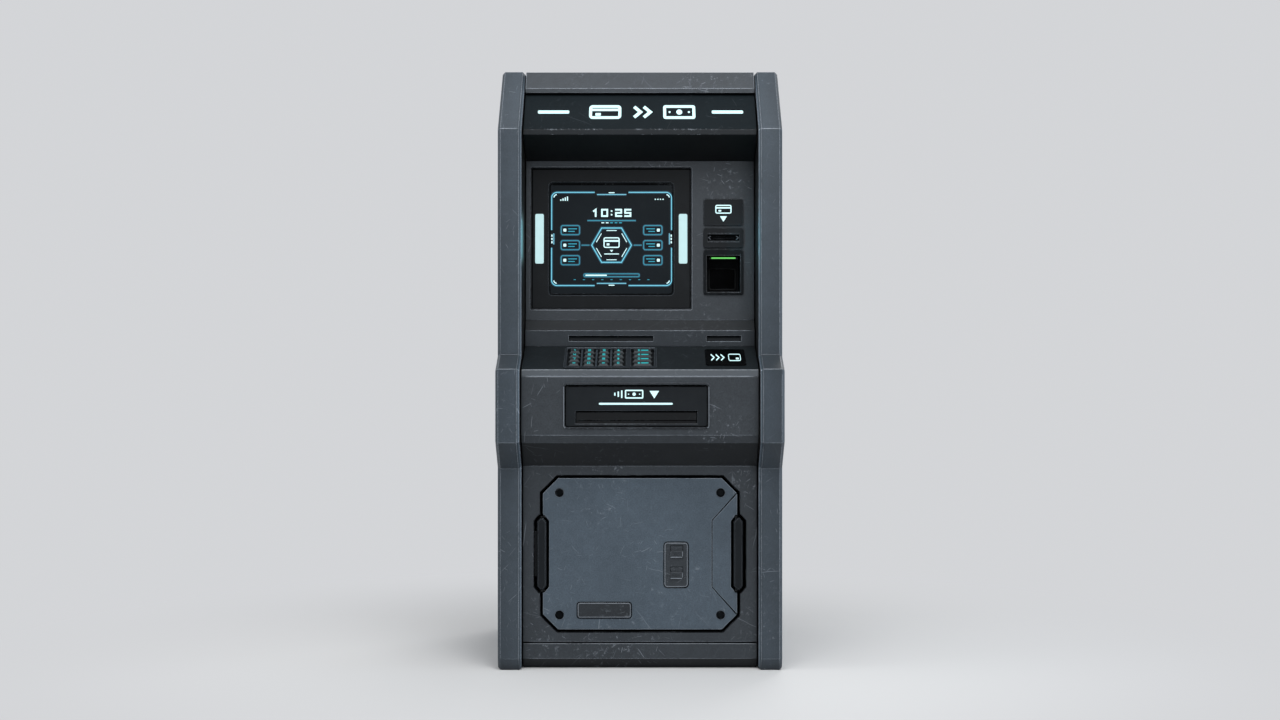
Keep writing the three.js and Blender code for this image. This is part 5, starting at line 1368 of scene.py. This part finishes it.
def build_cash_rim():
    """The cash bezel's near-black line just inside its edge and band under its top, painted shade; its pale
    rim, a painted highlight, which runs round its lower corners; and the slot's lip, also a painted
    highlight.
    """
    face = Face("cash_bezel")
    width, tall = face.size
    # Painted shade: a near-black line just inside the bezel's edge and a band under its top.
    edge_shade = stroke(corner_outline(width - 3 * MM, tall - 3 * MM, 6 * MM), 3.4 * MM, 0.3 * MM, closed=True)
    roof = plate(width - 16 * MM, 5 * MM, MM, 0.3 * MM, centre=(0, tall / 2 - 3 * MM))
    add_piece("cash_shade_line", face, [edge_shade, roof], "pit black")

    # Painted highlight: pale strips along the rim's sides and lower corners, and weaker ones along its foot
    # and the slot's lip.
    half_x, half_y, bend = width / 2 + 2.5 * MM, tall / 2 + 2.5 * MM, 7.5 * MM
    rim_base = 4.55 * MM
    sides = []
    for side, start, end in ((-1, 180, 245), (1, 0, -65)):
        corner = arc(bend, start, end, 8, (side * (half_x - bend), bend - half_y))
        straight = [(side * half_x, half_y - bend), (side * half_x, bend - half_y + MM)]
        sides.append(stroke(np.concatenate([straight, corner]), 2 * MM, 0.3 * MM, base=rim_base))
    add_piece("cash_rim_sides", face, sides, "highlight metal")
    foot = plate(2 * (half_x - bend), 1.8 * MM, 0.6 * MM, 0.3 * MM, rim_base, (0, -half_y))
    slot_foot = face.local(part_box("cash_shutter")[0])[1] + 4 * MM
    lip = plate(322 * MM, 3 * MM, MM, 0.3 * MM, centre=(0, slot_foot - 2 * MM))
    add_piece("cash_rim_foot", face, [foot, lip], "dim highlight metal")


def build_shutter_shades():
    """Painted shade on the shutter: near-black lines round its face, and a near-black line across its foot
    for the shade in its groove.
    """
    # Painted shade: near-black lines on the shutter where the slot shades it.
    shade_lines = [
        plate(320 * MM, 6.5 * MM, MM, 0.2 * MM, centre=(0, 14.6 * MM)),
        plate(316 * MM, 3.2 * MM, MM, 0.2 * MM, centre=(0, -9.3 * MM)),
    ]
    shade_lines += [plate(3 * MM, 34 * MM, MM, 0.2 * MM, centre=(x * MM, 0)) for x in (-158, 158)]
    add_piece("shutter_shade_lines", Face("cash_shutter"), shade_lines, "pit black", "cash_shutter")


# Middle and width of the two slots in the ledge, and their height above its foot.
LEDGE_SLOTS = [(-78 * MM, 227.4 * MM), (226 * MM, 93 * MM)]
SLOT_MIDDLE = 21.4 * MM

# A guide's section, as (up, out) from the middle of the slot and the face of the ledge.
GUIDE_SECTION = np.array([(-7.1, -1.0), (-7.1, -24), (4.2, -24), (4.2, -5.5), (-6.4, -1.0)]) * MM


def build_paper_guides():
    """A guide in each slot of the ledge: from the slot's lower lip it rises inwards, short of the top."""
    face = Face("ledge_panel", towards=(0, -1, 0))
    middle = face.local((0, 0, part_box("ledge_panel")[0].z + SLOT_MIDDLE))[1]
    count = len(GUIDE_SECTION)
    section = np.broadcast_to(GUIDE_SECTION + (middle, 0), (2, count, 2))
    guides = []
    for x, width in LEDGE_SLOTS:
        ends = np.array([-width / 2, width / 2])[:, None, None]
        across = np.broadcast_to(ends + x - face.middle[0], (2, count, 1))
        ring = np.concatenate([across, section], -1)
        caps = ring.mean(1, keepdims=True).repeat(count, axis=1)
        guides.append(grid(np.concatenate([caps[:1], ring, caps[1:]]), close_v=True))
    add_piece("paper_guides", face, guides, "guide plastic")


# ---------- Service door ----------

STUD_PLACE = (213 * MM, 161.6 * MM)

# Sections of a stud's rim and cap, as (radius, height) above the stud.
STUD_RIM = np.array([(0, -0.5), (8.8, -0.5), (9.2, 0.2), (10.7, 0.2), (11.1, -0.7), (0, -0.7)]) * MM
STUD_CAP = np.array([(0, 0.25), (7.4, 0.25), (8.0, -0.1), (8.0, -0.6), (0, -0.6)]) * MM

# The rim of the opening that the door and its two recesses stand in: the part to the upper right, from the
# middle of the door. The other three are its mirror images.
OPENING_QUARTER = np.array(
    [(219.4, 207.26), (264, 162.66), (264, 103.45), (267.22, 103.45), (280.25, 87.73)]
) * MM

# The line that is engraved on the right of the door: its upper half, from the door's middle.
ENGRAVED_HALF = np.array([(254.6, 160), (190.5, 88.05)]) * MM


def build_door_studs():
    """Round caps over the four studs: a black rim, and a flat cap inside a groove."""
    face = Face("service_door")
    x, z = STUD_PLACE
    places = [(side * x, end * z, 1.6 * MM) for side in (-1, 1) for end in (-1, 1)]
    for name, profile, finish in (
        ("door_studs", STUD_RIM, "pit black"),
        ("stud_caps", STUD_CAP, "stud plastic"),
    ):
        studs = [moved(turned(profile, 32), offset=place) for place in places]
        add_piece(name, face, studs, finish, "service_door")


def build_door_gap_shades():
    """Painted shade: near-black strips deep in the gaps above and below the door, a near-black line round its
    opening, and its engraved line drawn in near black.
    """
    face = Face("service_door")
    # Painted shade: near-black strips deep in the gaps above and below the door.
    gap_shade_place = face.size[1] / 2 + 3.55 * MM
    shade_lines = [plate(420 * MM, 6 * MM, MM, 3 * MM, -13 * MM, (0, side * gap_shade_place)) for side in (-1, 1)]
    add_piece("door_gap_shades", face, shade_lines, "pit black")
    # Painted shade: a near-black line round the door's opening.
    right = np.concatenate([OPENING_QUARTER, (OPENING_QUARTER * (1, -1))[::-1]])
    rim = stroke(np.concatenate([right, -right]), 2.2 * MM, 0.25 * MM, closed=True)
    frame_face = Face("lower_frame", towards=(0, -1, 0))
    add_piece("frame_gap_shade", frame_face, [rim], "pit black")
    # The engraved line is drawn near black, the shade in its groove.
    path = np.concatenate([ENGRAVED_HALF, (ENGRAVED_HALF * (1, -1))[::-1]])
    line = stroke(path, 1.9 * MM, 0.15 * MM, base=0.02 * MM)
    add_piece("door_line", face, [line], "pit black", "service_door")


def build_plate_beads():
    """A bead just inside the edge of the lock plate and the label plate, pale as a painted highlight, and a
    near-black line round each, painted shade.
    """
    beads, shade_lines = [], []
    for node, radius, outline_shade_base in (("lock_plate", 8 * MM, -1.1 * MM), ("label_plate", 6 * MM, -1.4 * MM)):
        face = Face(node)
        inside = corner_outline(*(face.size - 4 * MM), radius - 2 * MM)
        outside = corner_outline(*(face.size + 2.4 * MM), radius + 1.2 * MM)
        # The bead's paleness is a painted highlight; the near-black line round the plate is painted shade.
        bead = stroke(inside, 1.2 * MM, 0.3 * MM, closed=True)
        outline_shade = stroke(outside, 2.4 * MM, 1.1 * MM, base=outline_shade_base, closed=True)
        beads += on_face(face, [bead])
        shade_lines += on_face(face, [outline_shade])
    add_piece("plate_beads", None, beads, "highlight metal", "service_door")
    add_piece("plate_shade_lines", None, shade_lines, "pit black", "service_door")


def build_latch_edges():
    """Pale strips of painted highlight along the lock latches' lower and right edges, grip ribs, and the
    tongue that covers each guide slot.

    A dark line on the lock plate frames the place that each latch slides up into.
    """
    plate_face = Face("lock_plate")
    track = np.array([(-16.4, 9.8), (-16.4, 22.4), (16.4, 22.4), (16.4, 9.8)]) * MM
    tracks = []
    for node in ("lock_latch_upper", "lock_latch_lower"):
        face = Face(node)
        width, tall = face.size
        tracks.append(stroke(track, 1.4 * MM, 0.1 * MM, centre=plate_face.local(face.middle)))
        # Painted highlight: pale strips along the latch's lower and right edges.
        lower = plate(width * 0.92, 2.2 * MM, 0.6 * MM, 0.3 * MM, centre=(-MM, 1.2 * MM - tall / 2))
        right = plate(1.6 * MM, tall * 0.7, 0.6 * MM, 0.3 * MM, centre=(width / 2 - MM, MM))
        add_piece(f"{node}_edges", face, [lower, right], "highlight metal", node)
        rib = corner_outline(width * 0.66, 0.9 * MM, 0.4 * MM, 3)
        grip = [pad(rib, 0.4 * MM, centre=(-1.5 * MM, y * MM)) for y in (4.5, 2, -0.5, -3)]
        grip.append(plate(7.6 * MM, 9.8 * MM, MM, 0.35 * MM, -2.35 * MM, (-9 * MM, 13.4 * MM)))
        add_piece(f"{node}_grip", face, grip, "latch paint", node)
    add_piece("latch_tracks", plate_face, tracks, "pit black", "service_door")


# ---------- Rear ----------


def screw_head(radius):
    """A round-edged screw head with a sunk middle, as a profile turned round its axis."""
    profile = [(0, 0.3), (0.42, 0.3), (0.5, 0.55), (0.72, 0.55), (0.95, 0.28), (1.0, 0.0), (0, 0)]
    return turned(np.array(profile) * radius)


def rear_surface(surface, place, wall):
    """Turns a flat shape to look out of a rear wall: x to -X, y to Z and z to +Y from the wall's place."""
    points, quads = moved(surface, offset=place)
    return np.column_stack([-points[:, 0], wall + points[:, 2], points[:, 1]]), quads


def louvre(width, tall, height):
    """A pressed louvre: from its top edge it rises as a quarter sine to the open lower lip.

    Along its length the height is a sine cut off at the full height, so that only the ends are round.
    """
    u = np.linspace(0, 1, 25)[:, None]
    v = np.linspace(0, 1, 7)[None, :]
    x, y = np.broadcast_arrays((u - 0.5) * width, (0.5 - v) * tall)
    round_ends = np.clip(np.sin(u * math.pi) * 3.2, 0, 1)
    outer = np.stack([x, y, height * round_ends * np.sin(v * math.pi / 2)], -1)
    inner = outer - np.array([0, 0, 0.8 * MM])
    return grid(np.concatenate([outer, inner[:, ::-1]], axis=1), close_v=True)


def build_rear(fittings):
    """Four groups of seven louvres in the rear door, and the screws of the rear wall."""
    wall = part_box("rear_lock")[1].y - 12 * MM
    shape = louvre(158 * MM, 11 * MM, fittings.hood_height)
    heights = [1070 + group + number * 18 for group in (-270, 270) for number in range(-3, 4)]
    louvres = [rear_surface(shape, (x * MM, z * MM, 0.2 * MM), wall) for x in (-120, 120) for z in heights]
    add_piece("rear_louvres", None, louvres, "front paint", "rear_door", smooth=True)

    head = screw_head(fittings.screw_radius)
    places = [(x, z) for x in (-295, -100, 100, 295) for z in (585, 1578)]
    places += [(x, z) for x in (-295, 295) for z in (800, 1300)]
    screws = [rear_surface(head, (x * MM, z * MM, 0), wall) for x, z in places]
    add_piece("wall_screws", None, screws, "steel", smooth=True)


# ---------- Inside ----------

# Section of a transport knob, as (radius, height).
KNOB = np.array([(0, 15), (10, 15), (12, 13.5), (12, 4), (15, 2.5), (15, 0), (0, 0)]) * MM


def build_transport(fittings):
    """The cover of the notes' transport behind the service door, with its slots, screws and two knobs."""
    face = Face("cash_dispenser", towards=(0, -1, 0))
    thickness = 2.5 * MM
    middle = 78 * MM - face.size[1] / 2
    cover = plate(264 * MM, 104 * MM, 8 * MM, thickness, centre=(0, middle), edge=0.4)
    slots = [
        plate(150 * MM, 4 * MM, 1.9 * MM, 0.3 * MM, thickness, (0, middle + number * 11 * MM))
        for number in range(-2, 3)
    ]
    head = screw_head(fittings.screw_radius)
    screws = [
        moved(head, offset=(x * MM, middle + y * MM, thickness)) for x in (-122, 122) for y in (-43, 43)
    ]
    knobs = [moved(turned(KNOB, 32), offset=(x * MM, middle, thickness)) for x in (-100, 100)]
    add_piece("transport_cover", face, [cover], "safe paint")
    add_piece("transport_slots", face, slots, "pit black")
    add_piece("transport_screws", face, screws, "steel", smooth=True)
    add_piece("transport_knobs", face, knobs, "plain black", smooth=True)


def build_cassette_tags():
    """A paper tag with a number on the front of each cassette."""
    place = (-80 * MM, -38 * MM)
    thickness = 0.4 * MM
    for text, node in (("1", "cassette_upper"), ("2", "cassette_lower")):
        face = Face(node, towards=(0, -1, 0))
        tag = plate(34 * MM, 24 * MM, 2 * MM, thickness, centre=place)
        strokes = digit(text, (9 * MM, 15 * MM), 2.4 * MM, 0.2 * MM, place)
        number = [moved(part, offset=(0, 0, thickness)) for part in strokes]
        add_piece(f"{node}_tag", face, [tag], "paper", node)
        add_piece(f"{node}_number", face, number, "pit black", node)


def build_computer_vents():
    """Twelve vents and a row of four sockets in the back of the computer."""
    low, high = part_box("computer")
    middle = (low + high) / 2
    vent = plate(130 * MM, 4 * MM, 1.9 * MM, 0.4 * MM)
    socket = plate(22 * MM, 13 * MM, 2 * MM, 0.8 * MM)
    vents = [
        rear_surface(vent, (-middle.x, middle.z + (number * 12 - 20) * MM, 0), high.y)
        for number in range(12)
    ]
    vents += [
        rear_surface(socket, (x * MM - middle.x, low.z + 60 * MM, 0), high.y) for x in (-51, -17, 17, 51)
    ]
    add_piece("computer_vents", None, vents, "pit black")


def build_liner_rib():
    """An eight-sided rib on the inner side of the service door's liner."""
    right = [(190, 100), (190, -100), (150, -140)]
    corners = [(-190, 100), (-150, 140), (150, 140), *right, (-150, -140), (-190, -100)]
    rib = stroke(polygon_outline(corners, 2) * MM, 9 * MM, 2.5 * MM, closed=True)
    liner = Face("door_liner", towards=(0, 1, 0))
    add_piece("liner_rib", liner, [rib], "black steel", "service_door")


# ---------- Stage ----------


def seen_rays(tree):
    """One for the rays that see the stage: the camera's, and those that polished metal and glass send out."""
    rays = add_node(tree, "LightPath").outputs
    return largest(tree, rays["Is Camera Ray"], rays["Is Glossy Ray"], rays["Is Transmission Ray"])


def build_floor(settings):
    """A round floor: rings that widen from its middle; its far part fades into the backdrop's colour."""
    angle = np.arange(96) * 2 * math.pi / 96
    radius = np.array([0, 0.5, 1, 2, 4, 8, 16, 30.0])[:, None]
    points = np.stack([radius * np.cos(angle), radius * np.sin(angle), radius * np.zeros_like(angle)], -1)
    points, quads = grid(points, close_v=True)
    mesh = bpy.data.meshes.new("floor")
    mesh.from_pydata(points.tolist(), [], quads[:, ::-1].tolist())
    floor = bpy.data.objects.new("floor", mesh)
    bpy.context.scene.collection.objects.link(floor)
    tree, shader = new_material("floor")
    shader["Base Color"].default_value = solid(settings.floor)
    shader["Roughness"].default_value = 0.8
    shader["Specular IOR Level"].default_value = 0.1
    painted_floor = tree.nodes["Principled BSDF"].outputs[0]
    away = calculate_vector(tree, "LENGTH", coordinates(tree))
    far = product(tree, step(tree, away, 0.55, 1.9), seen_rays(tree))
    glow = add_node(tree, "Emission", {"Color": solid(settings.backdrop), "Strength": 1.0}).outputs[0]
    mixed = add_node(tree, "MixShader", {0: far, 1: painted_floor, 2: glow}).outputs[0]
    connect(tree, tree.nodes["Material Output"].inputs["Surface"], mixed)
    mesh.materials.append(MATERIALS["floor"])


def build_world(settings):
    """Even light from all around; the rays that see it see the backdrop's colour instead."""
    world = bpy.data.worlds.new("studio")
    world.use_nodes = True
    tree = world.node_tree
    lighting = tree.nodes["Background"]
    lighting.inputs["Color"].default_value = (0.93, 0.96, 1.0, 1)
    lighting.inputs["Strength"].default_value = settings.world
    backdrop = add_node(tree, "Background", {"Color": solid(settings.backdrop), "Strength": 1.0})
    mixed = add_node(
        tree, "MixShader", {0: seen_rays(tree), 1: lighting.outputs[0], 2: backdrop.outputs[0]}
    ).outputs[0]
    connect(tree, tree.nodes["World Output"].inputs["Surface"], mixed)
    bpy.context.scene.world = world


# Each lamp's place, what it points at, its width, its power and its tint.
LAMPS = {
    "main": ((0.1, -2.0, 3.7), (0, -0.3, 0.8), 2.2, 92, (1.0, 0.99, 0.98)),
    "front": ((0.9, -3.9, 2.9), (0, -0.3, 1.0), 1.2, 32, (0.97, 0.99, 1.0)),
    "right": ((3.6, -0.7, 0.85), (0, -0.2, 0.9), 1.5, 34, (0.74, 0.87, 1.0)),
    "left": ((-3.4, -1.2, 2.4), (0, -0.2, 0.9), 2.2, 38, (0.96, 0.98, 1.0)),
    "rear": ((1.2, 3.6, 3.4), (0, 0.3, 0.9), 2.4, 80, (1.0, 0.99, 0.98)),
    "left bar glow": ((-0.262, -0.30, 1.14), (-0.33, -0.345, 1.14), 0.1, 0.1, (0.25, 0.85, 1.0)),
    "right bar glow": ((0.2, -0.30, 1.14), (0.33, -0.345, 1.14), 0.1, 0.12, (0.25, 0.85, 1.0)),
}


def build_lamps(settings):
    for name, (place, target, size, power, tint) in LAMPS.items():
        lamp = bpy.data.lights.new(name, "AREA")
        lamp.shape = "SQUARE"
        lamp.size = size
        lamp.energy = power * settings.lamp
        lamp.color = tint
        holder = bpy.data.objects.new(name, lamp)
        holder.visible_camera = False
        holder.location = place
        aim = Vector(target) - Vector(place)
        holder.rotation_euler = aim.to_track_quat("-Z", "Y").to_euler()
        bpy.context.scene.collection.objects.link(holder)


def build_camera(settings):
    camera = bpy.data.cameras.new("camera")
    camera.lens = 50
    camera.sensor_width = 36
    holder = bpy.data.objects.new("camera", camera)
    holder.location = (0, -settings.camera_distance, settings.camera_height)
    holder.rotation_euler = (math.pi / 2, 0, 0)
    bpy.context.scene.collection.objects.link(holder)
    bpy.context.scene.camera = holder
    bpy.context.scene.view_settings.view_transform = "Standard"


# ---------- Operators ----------


class MACHINE_OT_finishes(Operator):
    """Makes every finish and gives each CAD node its own"""

    bl_idname = "machine.finishes"
    bl_label = "Finishes"

    def execute(self, context):
        build_materials(context.scene.machine_paint, context.scene.machine_light)
        finish_nodes()
        return {"FINISHED"}


class MACHINE_OT_sign(Operator):
    """Lays the lit dashes and pictograms on the sloping sign"""

    bl_idname = "machine.sign"
    bl_label = "Sign marks"

    def execute(self, context):
        build_sign(context.scene.machine_light)
        return {"FINISHED"}


class MACHINE_OT_unit_marks(Operator):
    """Lays the lit marks on the card sign, the cash bezel and the contactless reader"""

    bl_idname = "machine.unit_marks"
    bl_label = "Unit marks"

    def execute(self, context):
        build_card_marks(context.scene.machine_light)
        build_cash_marks(context.scene.machine_light)
        build_reader_mark(context.scene.machine_light)
        return {"FINISHED"}


class MACHINE_OT_keys(Operator):
    """Makes the dished key caps, their lit marks and the ribs between them"""

    bl_idname = "machine.keys"
    bl_label = "Keys"

    def execute(self, context):
        build_keys(context.scene.machine_light, context.scene.machine_fittings)
        build_key_ribs()
        return {"FINISHED"}


class MACHINE_OT_display(Operator):
    """Draws the display's lit lines and marks and paints the shade round its glass and bezel"""

    bl_idname = "machine.display"
    bl_label = "Display"

    def execute(self, context):
        build_display(context.scene.machine_light)
        build_display_shades()
        return {"FINISHED"}


class MACHINE_OT_slots(Operator):
    """Fits the card mouth, the scanner, the painted highlights and shade round the cash slot, and the paper
    guides
    """

    bl_idname = "machine.slots"
    bl_label = "Slots"

    def execute(self, context):
        build_card_mouth()
        build_scanner()
        build_cash_rim()
        build_shutter_shades()
        build_paper_guides()
        return {"FINISHED"}


class MACHINE_OT_door(Operator):
    """Fits the studs, the engraved line, the painted shade in the gaps and round the plates, and the painted
    highlights of the beads and latch edges of the service door
    """

    bl_idname = "machine.door"
    bl_label = "Door fittings"

    def execute(self, context):
        build_door_studs()
        build_door_gap_shades()
        build_plate_beads()
        build_latch_edges()
        return {"FINISHED"}


class MACHINE_OT_rear(Operator):
    """Presses the louvres of the rear door and sets the screws of the rear wall"""

    bl_idname = "machine.rear"
    bl_label = "Rear fittings"

    def execute(self, context):
        build_rear(context.scene.machine_fittings)
        return {"FINISHED"}


class MACHINE_OT_inside(Operator):
    """Fits the transport's cover, the cassettes' tags, the computer's vents and the liner's rib"""

    bl_idname = "machine.inside"
    bl_label = "Inside fittings"

    def execute(self, context):
        build_transport(context.scene.machine_fittings)
        build_cassette_tags()
        build_computer_vents()
        build_liner_rib()
        return {"FINISHED"}


class MACHINE_OT_stage(Operator):
    """Sets up the floor, world, lamps and camera"""

    bl_idname = "machine.stage"
    bl_label = "Stage"

    def execute(self, context):
        settings = context.scene.machine_stage
        build_floor(settings)
        build_world(settings)
        build_lamps(settings)
        build_camera(settings)
        return {"FINISHED"}


OPERATORS = [
    MACHINE_OT_stage,
    MACHINE_OT_finishes,
    MACHINE_OT_sign,
    MACHINE_OT_unit_marks,
    MACHINE_OT_keys,
    MACHINE_OT_display,
    MACHINE_OT_slots,
    MACHINE_OT_door,
    MACHINE_OT_rear,
    MACHINE_OT_inside,
]
SETTINGS = {
    "machine_paint": PaintSettings,
    "machine_light": LightSettings,
    "machine_fittings": FittingSettings,
    "machine_stage": StageSettings,
}


class MACHINE_PT_looks(Panel):
    """Lists the steps that dress the cash machine"""

    bl_idname = "MACHINE_PT_looks"
    bl_label = "Cash Machine"
    bl_space_type = "VIEW_3D"
    bl_region_type = "UI"
    bl_category = "Cash Machine"

    def draw(self, context):
        for group in SETTINGS:
            box = self.layout.box()
            values = getattr(context.scene, group)
            for name in values.__annotations__:
                box.prop(values, name)
        for operator in OPERATORS:
            self.layout.operator(operator.bl_idname)


def register():
    for name, group in SETTINGS.items():
        bpy.utils.register_class(group)
        setattr(bpy.types.Scene, name, PointerProperty(type=group))
    for operator in OPERATORS:
        bpy.utils.register_class(operator)
    bpy.utils.register_class(MACHINE_PT_looks)


def unregister():
    bpy.utils.unregister_class(MACHINE_PT_looks)
    for operator in reversed(OPERATORS):
        bpy.utils.unregister_class(operator)
    for name, group in reversed(SETTINGS.items()):
        delattr(bpy.types.Scene, name)
        bpy.utils.unregister_class(group)


def main():
    register()
    for operator in OPERATORS:
        step_name = operator.bl_idname.split(".")[1]
        getattr(bpy.ops.machine, step_name)()


if __name__ == "__main__":
    main()
